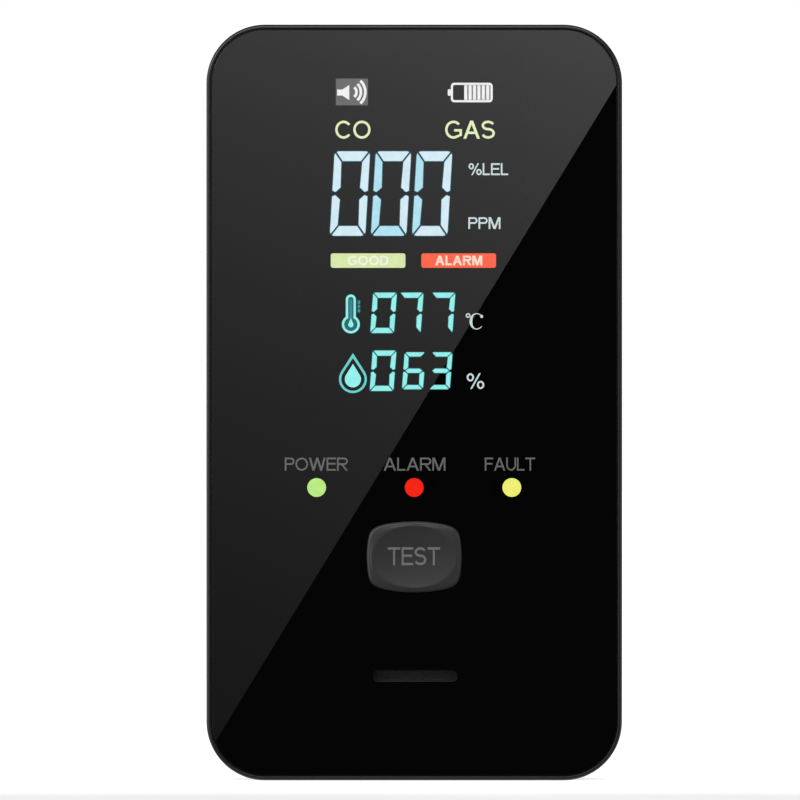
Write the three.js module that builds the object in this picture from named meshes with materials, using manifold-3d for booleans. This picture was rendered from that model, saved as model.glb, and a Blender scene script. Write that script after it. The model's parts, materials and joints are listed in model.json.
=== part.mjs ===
// A four-in-one household gas alarm: carbon monoxide, combustible gas, temperature and
// humidity on one tall display, with three status lights, a test button and a sounder slot.
//
// Units are millimetres. +X is the object's left-to-right width, the display faces -Y,
// +Z is up, and the origin is the middle of the flat bottom that it stands on.

import * as THREE from 'three';
import { mergeVertices } from 'three/addons/utils/BufferGeometryUtils.js';
import Module from 'manifold-3d';

const wasm = await Module();
wasm.setup();

// ------------------------------------------------------------------ driving dimensions

const housing = { width: 66, height: 120, corner: 9.3, wall: 2, rimEdge: 0.5, rearEdge: 3 };
const middle = housing.height / 2;

// Stations from the front to the back.
const station = {
  crown: -12,
  rim: -11.4,
  lensFront: -11.25,
  lensBack: -9.75,
  maskBack: -9.5,
  glassFront: -9.3,
  glassJoint: -8.5,
  wallBack: -8,
  glassBack: -7.7,
  lightBack: -4.7,
  holderBack: -3.7,
  parting: -2.6,
  boardFront: -1,
  boardBack: 0.6,
  coverInside: 10,
  back: 12,
};
const beyond = 1; // how far a cutter runs past the surface that it cuts
const bite = 0.5; // how far a solid runs into the one that it is joined to

const rim = { width: 0.65, lensInset: 0.9 };
const lip = { inset: 1.15, height: 1.5, clearance: 0.15 };

const display = {
  width: 36, height: 57.5, x: 0, z: 86.75, ledge: 2,
  window: { width: 32.5, height: 54, x: 0.25 }, fit: 0.4, flexRoom: 1.4, gasket: 1.3,
};
const holder = { wall: 1.7, topWall: 1.3, notch: 22, post: 3, postShare: 0.8 };
const flex = { width: 20, thickness: 0.24, steps: 18 };
const connector = { width: 22, height: 3, depth: 1.6 };
const light = { z: 46.5, pitch: 15.5, diameter: 3, names: ['power', 'alarm', 'fault'] };
const pipe = { hole: 3.3, flange: 0.8, flangeDepth: 0.9, end: -3.3 };
const led = { width: 3.2, height: 2.8, depth: 1.4, lens: 1.1, lensDepth: 1.05 };
const button = {
  width: 15.1, height: 11.3, power: 9, bow: { x: 0.08, z: 0.17 }, z: 35.5, clearance: 0.2,
  flange: 1.12, stem: 4,
};
const slot = { width: 13.4, height: 1.85, x: 0.1, z: 16.6 };
const sounder = { diameter: 12.6, bore: 11.4, front: -7.2, wall: 0.8, outlet: 1.3, inlet: 9 };
const tact = { size: 6, front: -4.5, sheet: 0.3, plunger: 1.7, travel: 1.6 };
const port = {
  z: 22, width: 8.94, height: 3.2, depth: 7.4, sheet: 0.3, clearance: 0.2,
  setBack: 0.6, tongue: { width: 6.6, thickness: 0.7, setBack: 0.7 },
};
const board = { width: 60.8, height: 114.8, corner: 6.7 };
const screw = {
  x: 25.5, z: [9.5, 110.5], shank: 2.2, head: 4.6, headHeight: 1.5, tip: -6,
  boss: 5.6, tube: 7.4, seat: 9.4, counterbore: 5.4, pilot: 2.3, coverHole: 2.9, boardHole: 3,
  cross: { length: 2.6, width: 0.6, depth: 0.9 },
};
const keyhole = { x: 15, z: 101, head: 7.4, shank: 3.8, rise: 6, depth: 3, room: 0.4, wall: 1 };
const vent = { z: 83, count: 5, pitch: 3.4, height: 1.6, width: 12, x: 13 };
const sideVent = { count: 5, pitch: 3.4, height: 1.2, front: 1.6, back: 8.6 };
const label = {
  width: 34, height: 26, corner: 1.5, clearance: 0.2, z: 46, recess: 0.3, sheet: 0.2,
};
const battery = { width: 34, height: 48, z: 36, front: 1, back: 9, terrace: 2.5 };
const rib = { gap: 0.4, thickness: 1.2, height: 4, length: 36 };
const sensors = { z: 83, x: 13, coDiameter: 14, coHeight: 7.5, gasDiameter: 9.2, gasHeight: 7.7 };

// ------------------------------------------------------------------ materials

function finish(color, roughness, metalness = 0) {
  return new THREE.MeshStandardMaterial({ color, roughness, metalness });
}

const blackPlastic = finish(0x0c0c0e, 0.25);
const lensAcrylic = finish(0x060607, 0.06);
const maskInk = finish(0x030303, 0.8);
const buttonPlastic = finish(0x151517, 0.4);
const boardGreen = finish(0x14502d, 0.45);
const displayGlass = finish(0x101c20, 0.1);
const whitePlastic = finish(0xe8e8e2, 0.5);
const foam = finish(0x1c1c1c, 0.95);
const amberFilm = finish(0xb06a1c, 0.4);
const blackMoulding = finish(0x1a1a1a, 0.5);
const clearPlastic = finish(0xd8e2e4, 0.15);
const steel = finish(0xb9bcc0, 0.35, 1);
const brass = finish(0xc8a04a, 0.35, 1);
const pouchFoil = finish(0xb4b8bc, 0.4, 0.8);
const redWire = finish(0xb01818, 0.5);
const blackWire = finish(0x101010, 0.5);
const meshFelt = finish(0x2c2c2c, 0.9);
const paperWhite = finish(0xdcdcd8, 0.7);

// ------------------------------------------------------------------ solids

const object = new THREE.Group();

function asSolid(geometry) {
  geometry.deleteAttribute('normal');
  geometry.deleteAttribute('uv');
  const merged = mergeVertices(geometry, 1e-4);
  const corners = merged.index.array;
  const kept = [];
  for (let i = 0; i < corners.length; i += 3) {
    const [a, b, c] = [corners[i], corners[i + 1], corners[i + 2]];
    if (a !== b && b !== c && c !== a) kept.push(a, b, c);
  }
  return new wasm.Manifold(new wasm.Mesh({
    numProp: 3,
    vertProperties: merged.attributes.position.array,
    triVerts: new Uint32Array(kept),
  }));
}

function asMesh(name, solid, material) {
  const { vertProperties, triVerts } = solid.getMesh();
  const geometry = new THREE.BufferGeometry();
  geometry.setAttribute('position', new THREE.BufferAttribute(vertProperties, 3));
  geometry.setIndex(new THREE.BufferAttribute(triVerts, 1));
  geometry.computeVertexNormals();
  const mesh = new THREE.Mesh(geometry, material);
  mesh.name = name;
  return mesh;
}

function union(solids) {
  return solids.reduce((sum, solid) => sum.add(solid));
}

function cut(solid, cutters) {
  return solid.subtract(union(cutters));
}

function block(x0, x1, y0, y1, z0, z1) {
  const geometry = new THREE.BoxGeometry(x1 - x0, y1 - y0, z1 - z0);
  geometry.translate((x0 + x1) / 2, (y0 + y1) / 2, (z0 + z1) / 2);
  return asSolid(geometry);
}

// A round bar along Y.
function rod(diameter, front, back, x = 0, z = 0, sides = 20) {
  const geometry = new THREE.CylinderGeometry(diameter / 2, diameter / 2, back - front, sides);
  geometry.translate(x, (front + back) / 2, z);
  return asSolid(geometry);
}

// A turned piece about the Y axis: [radius, y] pairs from its front on the axis to its back.
function turned(profile, sides = 20) {
  const points = profile.map(([radius, y]) => new THREE.Vector2(radius, y));
  return asSolid(new THREE.LatheGeometry(points, sides));
}

function roundedRectangle(width, height, radius, x = 0, z = 0) {
  const dx = width / 2 - radius;
  const dz = height / 2 - radius;
  const quarter = Math.PI / 2;
  const shape = new THREE.Shape();
  shape.absarc(x + dx, z + dz, radius, 0, quarter);
  shape.absarc(x - dx, z + dz, radius, quarter, 2 * quarter);
  shape.absarc(x - dx, z - dz, radius, 2 * quarter, 3 * quarter);
  shape.absarc(x + dx, z - dz, radius, 3 * quarter, 4 * quarter);
  return shape;
}

function stadium(width, height, x = 0, z = 0) {
  return roundedRectangle(width, height, Math.min(width, height) / 2, x, z);
}

// The outline of the housing, moved in by an inset.
function housingOutline(inset) {
  return roundedRectangle(
    housing.width - 2 * inset, housing.height - 2 * inset, housing.corner - inset, 0, middle,
  );
}

// A flat piece with the given outline in X and Z, from its front to its back station.
function plate(shape, front, back, steps = 3) {
  const depth = back - front;
  const geometry = new THREE.ExtrudeGeometry(
    shape, { depth, bevelEnabled: false, curveSegments: steps },
  );
  geometry.rotateX(Math.PI / 2);
  geometry.translate(0, back, 0);
  return asSolid(geometry);
}

// The same, with its front and back edges rounded.
function softPlate(shape, front, back, radius, steps = 3, ringSteps = 3) {
  const geometry = new THREE.ExtrudeGeometry(shape, {
    depth: back - front - 2 * radius,
    bevelThickness: radius,
    bevelSize: radius,
    bevelOffset: -radius,
    bevelSegments: ringSteps,
    curveSegments: steps,
  });
  geometry.rotateX(Math.PI / 2);
  geometry.translate(0, back - radius, 0);
  return asSolid(geometry);
}

// A bar along X whose section is drawn in Y and Z.
function bar(shape, x0, x1, steps = 3) {
  const geometry = new THREE.ExtrudeGeometry(
    shape, { depth: x1 - x0, bevelEnabled: false, curveSegments: steps },
  );
  const [x, y, z] = [[1, 0, 0], [0, 1, 0], [0, 0, 1]].map((axis) => new THREE.Vector3(...axis));
  geometry.applyMatrix4(new THREE.Matrix4().makeBasis(y, z, x));
  geometry.translate(x0, 0, 0);
  return asSolid(geometry);
}

// The button's outline: a superellipse whose sides bow out towards their middles.
function pillow(width, height, z = 0, count = 72) {
  const points = [];
  for (let i = 0; i < count; i += 1) {
    const angle = (i / count) * 2 * Math.PI;
    const [across, up] = [Math.cos(angle), Math.sin(angle)];
    const reach = (Math.abs(across) ** button.power + Math.abs(up) ** button.power)
      ** (1 / button.power);
    const [u, v] = [across / reach, up / reach];
    points.push(new THREE.Vector2(
      (width / 2) * u * (1 - button.bow.x * v * v),
      z + (height / 2) * v * (1 - button.bow.z * u * u),
    ));
  }
  return points;
}

// A closed body of rings: each ring is the outline at one scale and one station.
function ringed(outline, rings) {
  const count = outline.length;
  const positions = [];
  const faces = [];
  for (const [scale, y] of rings) {
    for (const point of outline) positions.push(point.x * scale, y, point.y * scale);
  }
  const first = positions.length / 3;
  const last = first + 1;
  positions.push(0, rings[0][1], 0, 0, rings[rings.length - 1][1], 0);
  for (let ring = 0; ring + 1 < rings.length; ring += 1) {
    for (let i = 0; i < count; i += 1) {
      const j = (i + 1) % count;
      const [a, b] = [ring * count + i, ring * count + j];
      const [c, d] = [a + count, b + count];
      faces.push(a, b, d, a, d, c);
    }
  }
  const top = (rings.length - 1) * count;
  for (let i = 0; i < count; i += 1) {
    const j = (i + 1) % count;
    faces.push(first, j, i, last, top + i, top + j);
  }
  const geometry = new THREE.BufferGeometry();
  geometry.setAttribute('position', new THREE.Float32BufferAttribute(positions, 3));
  geometry.setIndex(faces);
  return asSolid(geometry);
}

const screwPlaces = screw.z.flatMap((z) => [-screw.x, screw.x].map((x) => [x, z]));
const buttonHole = new THREE.Shape(
  pillow(button.width + 2 * button.clearance, button.height + 2 * button.clearance, button.z),
);
const soundSlot = () => stadium(slot.width, slot.height, slot.x, slot.z);
const portHole = () => bar(
  stadium(
    port.height + 2 * port.clearance, port.width + 2 * port.clearance,
    station.boardFront - port.height / 2, port.z,
  ),
  housing.width / 2 - housing.wall - beyond, housing.width / 2 + beyond,
);

// ------------------------------------------------------------------ housing

function frontFrame() {
  const outside = softPlate(
    housingOutline(0), station.rim, station.parting + 2, housing.rimEdge, 6,
  ).intersect(block(
    -housing.width, housing.width, station.rim - beyond, station.parting, -beyond,
    housing.height + beyond,
  ));
  const lensSeat = plate(housingOutline(rim.width), station.rim - beyond, station.maskBack, 6);
  const inside = plate(housingOutline(housing.wall), station.wallBack, 0, 5);
  const lipSeat = plate(
    housingOutline(lip.inset - lip.clearance), station.parting - lip.height - lip.clearance, 0, 5,
  );
  const shell = cut(outside, [lensSeat, inside, lipSeat]);

  const bosses = screwPlaces.map(([x, z]) => (
    rod(screw.boss, station.wallBack - bite, station.boardFront, x, z)
  ));
  const pilots = screwPlaces.map(([x, z]) => (
    rod(screw.pilot, station.wallBack + beyond, station.boardFront + beyond, x, z, 16)
  ));

  const glassWindow = block(
    display.x - display.width / 2 - display.fit, display.x + display.width / 2 + display.fit,
    station.maskBack - beyond, station.wallBack + beyond,
    display.z - display.height / 2 - display.ledge - display.flexRoom,
    display.z + display.height / 2 + display.fit,
  );
  const lightHoles = light.names.map((name, i) => rod(
    pipe.hole, station.maskBack - beyond, station.wallBack + beyond,
    (i - 1) * light.pitch, light.z,
  ));
  const meshSeat = plate(
    stadium(slot.width + 2, slot.height + 2, slot.x, slot.z),
    station.maskBack - beyond, station.maskBack + 0.4,
  );
  const soundHole = plate(
    stadium(sounder.inlet, slot.height, slot.x, slot.z),
    station.maskBack - beyond, station.wallBack + beyond,
  );
  const buttonGuide = plate(buttonHole, station.maskBack - beyond, station.wallBack + beyond);
  const solid = cut(union([shell, ...bosses]), [
    ...pilots, glassWindow, ...lightHoles, meshSeat, soundHole, buttonGuide, portHole(),
  ]);
  return asMesh('front_frame', solid, blackPlastic);
}

// One keyhole: the wall screw's head goes in at the bottom and its shank slides up the slot.
function keyholeOpening(x) {
  const entry = rod(
    keyhole.head, station.coverInside - beyond, station.back + beyond, x, keyhole.z, 24,
  );
  const rise = plate(
    stadium(keyhole.shank, keyhole.rise + keyhole.shank, x, keyhole.z + keyhole.rise / 2),
    station.coverInside - beyond, station.back + beyond,
  );
  return entry.add(rise);
}

// The closed cup behind a keyhole, and the room in it.
function keyholeCup(x, wall, back) {
  const half = keyhole.head / 2 + keyhole.room + wall;
  return block(
    x - half, x + half, station.coverInside - keyhole.depth - wall, back,
    keyhole.z - half, keyhole.z + keyhole.rise + half - 1,
  );
}

function backCover() {
  const outside = softPlate(
    housingOutline(0), station.parting - 8, station.back, housing.rearEdge, 6, 4,
  ).intersect(block(
    -housing.width, housing.width, station.parting, station.back + beyond, -beyond,
    housing.height + beyond,
  ));
  const lipRing = plate(
    housingOutline(lip.inset), station.parting - lip.height, station.parting + beyond, 5,
  );
  const inside = plate(
    housingOutline(housing.wall), station.parting - 2 * lip.height, station.coverInside, 5,
  );
  const shell = outside.add(lipRing).subtract(inside);

  const tubes = screwPlaces.map(([x, z]) => (
    rod(screw.tube, station.boardBack, station.coverInside + bite, x, z, 24)
  ));
  const keyholeSides = [-keyhole.x, keyhole.x];
  const cups = keyholeSides.map(
    (x) => keyholeCup(x, keyhole.wall, station.coverInside + bite),
  );
  const batteryRibs = [-1, 1].map((side) => {
    const x = side * (battery.width / 2 + rib.gap + rib.thickness / 2);
    return block(
      x - rib.thickness / 2, x + rib.thickness / 2,
      battery.back - rib.height, station.coverInside + bite,
      battery.z - rib.length / 2, battery.z + rib.length / 2,
    );
  });

  const screwHoles = screwPlaces.flatMap(([x, z]) => [
    rod(screw.coverHole, station.boardBack - beyond, station.back, x, z, 16),
    rod(screw.counterbore, screw.seat, station.back + beyond, x, z, 24),
  ]);
  const keyholes = keyholeSides.flatMap((x) => [
    keyholeCup(x, 0, station.coverInside),
    keyholeOpening(x),
  ]);
  const vents = [];
  const sideVents = [];
  for (let i = 0; i < vent.count; i += 1) {
    const z = vent.z + (i - (vent.count - 1) / 2) * vent.pitch;
    for (const side of [-1, 1]) {
      vents.push(plate(
        stadium(vent.width, vent.height, side * vent.x, z),
        station.coverInside - beyond, station.back + beyond, 2,
      ));
      const wallX = side * (housing.width / 2 - housing.wall / 2);
      sideVents.push(block(
        wallX - housing.wall, wallX + housing.wall, sideVent.front, sideVent.back,
        z - sideVent.height / 2, z + sideVent.height / 2,
      ));
    }
  }
  const labelRecess = plate(
    roundedRectangle(
      label.width + 2 * label.clearance, label.height + 2 * label.clearance,
      label.corner + label.clearance, 0, label.z,
    ),
    station.back - label.recess, station.back + beyond,
  );
  const solid = cut(union([shell, ...tubes, ...cups, ...batteryRibs]), [
    ...screwHoles, ...keyholes, ...vents, ...sideVents, labelRecess, portHole(),
  ]);
  return asMesh('back_cover', solid, blackPlastic);
}

function frontLens() {
  const sheet = plate(housingOutline(rim.lensInset), station.lensFront, station.lensBack, 6);
  const solid = cut(sheet, [
    plate(buttonHole, station.lensFront - beyond, station.lensBack + beyond),
    plate(soundSlot(), station.lensFront - beyond, station.lensBack + beyond),
  ]);
  return asMesh('front_lens', solid, lensAcrylic);
}

function lensMask() {
  const sheet = plate(housingOutline(rim.lensInset + 0.1), station.lensBack, station.maskBack, 6);
  const { width, height, x } = display.window;
  const through = [station.lensBack - beyond, station.maskBack + beyond];
  const solid = cut(sheet, [
    plate(buttonHole, ...through),
    plate(soundSlot(), ...through),
    plate(roundedRectangle(width, height, 1, display.x + x, display.z), ...through),
    ...light.names.map((name, i) => (
      rod(light.diameter, ...through, (i - 1) * light.pitch, light.z, 24)
    )),
  ]);
  return asMesh('lens_mask', solid, maskInk);
}

function coverScrews() {
  return screwPlaces.map(([x, z], i) => {
    const headTop = screw.seat + screw.headHeight;
    const shank = rod(screw.shank, screw.tip, screw.seat + bite, 0, 0, 12);
    const head = rod(screw.head, screw.seat, headTop);
    const [long, short] = [screw.cross.length / 2, screw.cross.width / 2];
    const recess = [[long, short], [short, long]].map(([halfX, halfZ]) => block(
      -halfX, halfX, headTop - screw.cross.depth, headTop + beyond, -halfZ, halfZ,
    ));
    const mesh = asMesh(`cover_screw_${i + 1}`, cut(head.add(shank), recess), steel);
    mesh.position.set(x, 0, z);
    return mesh;
  });
}

function ratingLabel() {
  const front = station.back - label.recess;
  const sheet = plate(
    roundedRectangle(label.width, label.height, label.corner, 0, label.z),
    front, front + label.sheet,
  );
  return asMesh('rating_label', sheet, paperWhite);
}

// ------------------------------------------------------------------ display

function displayGroup() {
  const group = new THREE.Group();
  group.position.set(display.x, 0, display.z);
  const { width, height, ledge, fit } = display;
  const [halfWidth, halfHeight] = [width / 2, height / 2];

  const frontGlass = block(
    -halfWidth, halfWidth, station.glassFront, station.glassJoint, -halfHeight, halfHeight,
  );
  const rearGlass = block(
    -halfWidth, halfWidth, station.glassJoint, station.glassBack, -halfHeight - ledge,
    halfHeight,
  );
  const backlight = block(
    -halfWidth, halfWidth, station.glassBack, station.lightBack, -halfHeight - ledge,
    halfHeight,
  );
  const gasket = cut(
    block(-halfWidth, halfWidth, station.maskBack, station.glassFront, -halfHeight, halfHeight),
    [block(
      -halfWidth + display.gasket, halfWidth - display.gasket,
      station.maskBack - beyond, station.glassFront + beyond,
      -halfHeight + display.gasket, halfHeight - display.gasket,
    )],
  );

  // The holder clips round the glass and the light guide and stands on the circuit board.
  const { wall, topWall, postShare } = holder;
  const halfPost = holder.post / 2;
  const low = -halfHeight - ledge - fit;
  const tray = block(
    -halfWidth - fit - wall, halfWidth + fit + wall, station.wallBack, station.holderBack,
    low - wall, halfHeight + fit + topWall,
  );
  const bed = block(
    -halfWidth - fit, halfWidth + fit, station.wallBack - beyond, station.lightBack,
    low, halfHeight + fit,
  );
  const flexNotch = block(
    -holder.notch / 2, holder.notch / 2, station.wallBack - beyond,
    station.holderBack + beyond, low - wall - beyond, low + wall / 3,
  );
  const posts = [-1, 1].flatMap((side) => [-postShare, postShare].map((share) => block(
    side * halfWidth - halfPost, side * halfWidth + halfPost, station.holderBack - bite,
    station.boardFront, share * halfHeight - halfPost, share * halfHeight + halfPost,
  )));
  const holderBody = cut(tray, [bed, flexNotch]).add(union(posts));

  // The flex runs off the glass ledge, round its end and down to its connector.
  const ledgeZ = -halfHeight - ledge;
  const route = new THREE.SplineCurve([
    new THREE.Vector2(station.glassJoint - 0.25, ledgeZ + 1.6),
    new THREE.Vector2(station.glassJoint - 0.25, ledgeZ + 0.2),
    new THREE.Vector2(station.glassBack - 0.1, ledgeZ - 0.65),
    new THREE.Vector2(station.lightBack - 0.5, ledgeZ - 0.9),
    new THREE.Vector2(station.holderBack + 0.9, ledgeZ - 1.9),
    new THREE.Vector2(station.boardFront - 0.9, ledgeZ - 3.2),
  ]);
  const flexTail = bar(band(route, flex.thickness, flex.steps), -flex.width / 2, flex.width / 2);

  const connectorTop = ledgeZ - 3.5;
  const connectorBody = block(
    -connector.width / 2, connector.width / 2, station.boardFront - connector.depth,
    station.boardFront, connectorTop - connector.height, connectorTop,
  );

  group.add(
    asMesh('lcd_front_glass', frontGlass, displayGlass),
    asMesh('lcd_rear_glass', rearGlass, displayGlass),
    asMesh('lcd_backlight', backlight, whitePlastic),
    asMesh('lcd_gasket', gasket, foam),
    asMesh('lcd_holder', holderBody, whitePlastic),
    asMesh('lcd_flex_cable', flexTail, amberFilm),
    asMesh('lcd_connector', connectorBody, whitePlastic),
  );
  return group;
}

// The outline of a band of even thickness along a flat curve.
function band(curve, thickness, count) {
  const near = [];
  const far = [];
  for (let i = 0; i <= count; i += 1) {
    const point = curve.getPoint(i / count);
    const tangent = curve.getTangent(i / count);
    const side = new THREE.Vector2(-tangent.y, tangent.x).multiplyScalar(thickness / 2);
    near.push(point.clone().add(side));
    far.unshift(point.clone().sub(side));
  }
  return new THREE.Shape([...near, ...far]);
}

// ------------------------------------------------------------------ status lights

function statusLights() {
  return light.names.map((name, i) => {
    const group = new THREE.Group();
    group.position.set((i - 1) * light.pitch, 0, light.z);
    const radius = light.diameter / 2;
    const flange = radius + pipe.flange;
    const flangeBack = station.wallBack + pipe.flangeDepth;
    const guide = turned([
      [0, station.maskBack], [radius, station.maskBack],
      [radius, station.wallBack], [flange, station.wallBack],
      [flange, flangeBack], [radius, flangeBack],
      [radius, pipe.end], [0, pipe.end],
    ]);
    const base = block(
      -led.width / 2, led.width / 2, station.boardFront - led.depth, station.boardFront,
      -led.height / 2, led.height / 2,
    );
    const domeBack = station.boardFront - led.depth / 2;
    const domeFront = station.boardFront - 1 - led.lensDepth;
    const dome = turned([
      [0, domeFront], [0.7 * led.lens, domeFront + 0.1], [led.lens, domeFront + 0.45],
      [led.lens, domeBack], [0, domeBack],
    ], 16);
    group.add(
      asMesh(`${name}_light_pipe`, guide, clearPlastic),
      asMesh(`${name}_led`, base.add(dome), whitePlastic),
    );
    return group;
  });
}

// ------------------------------------------------------------------ test button and switch

function testButton() {
  const group = new THREE.Group();
  group.position.set(0, 0, button.z);
  const outline = pillow(button.width, button.height);
  const flangeBack = station.wallBack + 0.9;
  const flangeFront = station.wallBack + 0.1;
  const cap = ringed(outline, [
    [button.flange, flangeBack],
    [button.flange, flangeFront],
    [1, flangeFront],
    [1, station.crown + 0.35],
    [0.985, station.crown + 0.12],
    [0.955, station.crown],
    [0.9, station.crown + 0.02],
    [0.78, station.crown + 0.14],
    [0.6, station.crown + 0.32],
    [0.35, station.crown + 0.45],
    [0.12, station.crown + 0.5],
  ]);
  const hollow = ringed(outline, [
    [0.84, flangeBack + beyond],
    [0.84, station.crown + 1.9],
    [0.78, station.crown + 1.6],
  ]);
  const stem = rod(button.stem, station.crown + 1.2, tact.front - tact.travel - 0.1);
  group.add(asMesh('test_button', cap.subtract(hollow).add(stem), buttonPlastic));

  const { size, front, sheet, plunger, travel } = tact;
  const half = size / 2;
  const caseBody = cut(
    block(-half, half, front, station.boardFront, -half, half),
    [rod(0.8 * size, front - beyond, station.boardFront - 1.2)],
  );
  const cover = cut(
    block(-half, half, front - sheet, front, -half, half),
    [rod(2 * plunger + sheet, front - beyond, front + beyond)],
  );
  const collar = plunger + bite;
  const key = turned([
    [0, front - travel], [plunger - 0.25, front - travel], [plunger, front - travel + 0.25],
    [plunger, front + sheet], [collar, front + sheet], [collar, front + 3 * sheet],
    [0, front + 3 * sheet],
  ]);
  const dome = turned([
    [0, front + 1.65], [1, front + 1.72], [2.3, front + 2.15], [2.3, front + 2.3],
    [1.05, front + 1.9], [0, front + 1.83],
  ]);
  group.add(
    asMesh('tact_switch_body', caseBody, blackMoulding),
    asMesh('tact_switch_cover', cover, steel),
    asMesh('tact_switch_plunger', key, blackMoulding),
    asMesh('tact_switch_dome', dome, steel),
  );
  return group;
}

// ------------------------------------------------------------------ sounder

function sounderGroup() {
  const group = new THREE.Group();
  group.position.set(slot.x, 0, slot.z);
  const [outer, inner] = [sounder.diameter / 2, sounder.bore / 2];
  const { wall, outlet } = sounder;
  const back = station.boardFront;
  const seat = back - 2.5;
  const capsule = turned([
    [0, back - wall], [inner - 1.1, back - wall], [inner - 1.1, seat],
    [inner, seat], [inner, sounder.front + wall], [outlet, sounder.front + wall],
    [outlet, sounder.front], [outer, sounder.front], [outer, back], [0, back],
  ], 28);
  const diaphragm = rod(sounder.bore - 0.6, seat - 0.3, seat, 0, 0, 24);
  const gasket = cut(
    rod(sounder.diameter - 0.2, station.wallBack, sounder.front, 0, 0, 28),
    [rod(sounder.diameter - 2.4, station.wallBack - beyond, sounder.front + beyond, 0, 0, 24)],
  );
  const grille = plate(
    stadium(slot.width + 1.8, slot.height + 1.8), station.maskBack, station.maskBack + 0.3,
  );
  group.add(
    asMesh('sounder_case', capsule, blackMoulding),
    asMesh('sounder_diaphragm', diaphragm, brass),
    asMesh('sounder_gasket', gasket, foam),
    asMesh('sounder_mesh', grille, meshFelt),
  );
  return group;
}

// ------------------------------------------------------------------ circuit board

function mainBoard() {
  const sheet = plate(
    roundedRectangle(board.width, board.height, board.corner, 0, middle),
    station.boardFront, station.boardBack,
  );
  const holes = screwPlaces.map(([x, z]) => (
    rod(screw.boardHole, station.boardFront - beyond, station.boardBack + beyond, x, z, 16)
  ));
  return asMesh('main_pcb', cut(sheet, holes), boardGreen);
}

// A chip on the board's front, centred on x and z.
function chip(name, x, z, size, height, material) {
  const half = size / 2;
  const solid = block(-half, half, station.boardFront - height, station.boardFront, -half, half);
  const mesh = asMesh(name, solid, material);
  mesh.position.set(x, 0, z);
  return mesh;
}

function usbPort() {
  const group = new THREE.Group();
  const middleY = station.boardFront - port.height / 2;
  group.position.set(housing.width / 2 - port.setBack, middleY, port.z);
  const shell = cut(
    bar(stadium(port.height, port.width), -port.depth, 0),
    [bar(
      stadium(port.height - 2 * port.sheet, port.width - 2 * port.sheet),
      -port.depth + port.sheet, beyond,
    )],
  );
  const { width, thickness, setBack } = port.tongue;
  const tongue = block(
    -port.depth + port.sheet, -setBack, -thickness / 2, thickness / 2, -width / 2, width / 2,
  );
  group.add(
    asMesh('usb_c_shell', shell, steel),
    asMesh('usb_c_tongue', tongue, blackMoulding),
  );
  return group;
}

// ------------------------------------------------------------------ sensors

function sensorGroup() {
  const group = new THREE.Group();
  group.position.set(0, station.boardBack, sensors.z);
  const coRadius = sensors.coDiameter / 2;
  const carbonMonoxide = turned([
    [0, 0], [coRadius, 0], [coRadius, sensors.coHeight - 0.5],
    [coRadius - 0.5, sensors.coHeight], [1.5, sensors.coHeight],
    [1.5, sensors.coHeight - 1], [0, sensors.coHeight - 1],
  ], 28);
  const gasRadius = sensors.gasDiameter / 2;
  const base = turned([[0, 0], [gasRadius, 0], [gasRadius, 1.5], [0, 1.5]], 24);
  const can = turned([
    [0, sensors.gasHeight - 0.6], [gasRadius - 1.2, sensors.gasHeight - 0.6],
    [gasRadius - 1.2, 1.5], [gasRadius - 0.5, 1.5], [gasRadius - 0.5, sensors.gasHeight - 0.6],
    [gasRadius - 1.1, sensors.gasHeight], [0, sensors.gasHeight],
  ], 24);
  const humidity = block(-1.5, 1.5, 0, 1, -1.5, 1.5);
  const filterFront = station.coverInside - station.boardBack - 0.4;
  const filter = block(
    -22, 22, filterFront, filterFront + 0.4, -9, 9,
  );
  const placed = [
    [asMesh('co_sensor', carbonMonoxide, whitePlastic), -sensors.x],
    [asMesh('gas_sensor_base', base, blackMoulding), sensors.x],
    [asMesh('gas_sensor_can', can, steel), sensors.x],
    [asMesh('humidity_sensor', humidity, steel), 0],
    [asMesh('sensor_dust_filter', filter, whitePlastic), 0],
  ];
  for (const [mesh, x] of placed) {
    mesh.position.x = x;
    group.add(mesh);
  }
  return group;
}

// ------------------------------------------------------------------ battery

function batteryGroup() {
  const group = new THREE.Group();
  group.position.set(0, 0, battery.z);
  const { width, height, front, back, terrace } = battery;
  const top = height / 2;
  const pouch = softPlate(roundedRectangle(width, height, 2), front, back, 1.2, 2, 2);
  const seal = block(-width / 2 + 1, width / 2 - 1, 4.2, 5.8, top - 1, top + terrace);
  const pad = block(
    -width / 2 + 3, width / 2 - 3, back, station.coverInside, -top + 4, top - 4,
  );

  // The pigtail: two leads from the sealed end into a plug in its socket on the board.
  const socketLow = top + 8.4;
  const socket = cut(
    block(-4, 4, station.boardBack, 5.4, socketLow, socketLow + 5.8),
    [block(-3.3, 3.3, 1.3, 4.7, socketLow - beyond, socketLow + 4.4)],
  );
  const plug = block(-3, 3, 1.6, 4.4, socketLow - 1.5, socketLow + 4.1);
  const leads = [-1, 1].map((side) => lead([
    new THREE.Vector3(side * 9, 5, top + terrace + 0.3),
    new THREE.Vector3(side * 8.4, 4.9, top + terrace + 1.5),
    new THREE.Vector3(side * 4.4, 3.8, top + terrace + 2.3),
    new THREE.Vector3(side * 1.4, 3, socketLow - 3),
    new THREE.Vector3(side * 1.4, 3, socketLow - 1.9),
  ], 1.1));
  group.add(
    asMesh('battery_cell', pouch.add(seal), pouchFoil),
    asMesh('battery_pad', pad, foam),
    asMesh('battery_socket', socket, whitePlastic),
    asMesh('battery_plug', plug, whitePlastic),
    asMesh('battery_lead_positive', leads[0], redWire),
    asMesh('battery_lead_negative', leads[1], blackWire),
  );
  return group;
}

function lead(points, diameter) {
  const section = new THREE.Shape();
  section.absarc(0, 0, diameter / 2, 0, 2 * Math.PI);
  return asSolid(new THREE.ExtrudeGeometry(section, {
    steps: 14,
    curveSegments: 4,
    bevelEnabled: false,
    extrudePath: new THREE.CatmullRomCurve3(points),
  }));
}

// ------------------------------------------------------------------ the object

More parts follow.
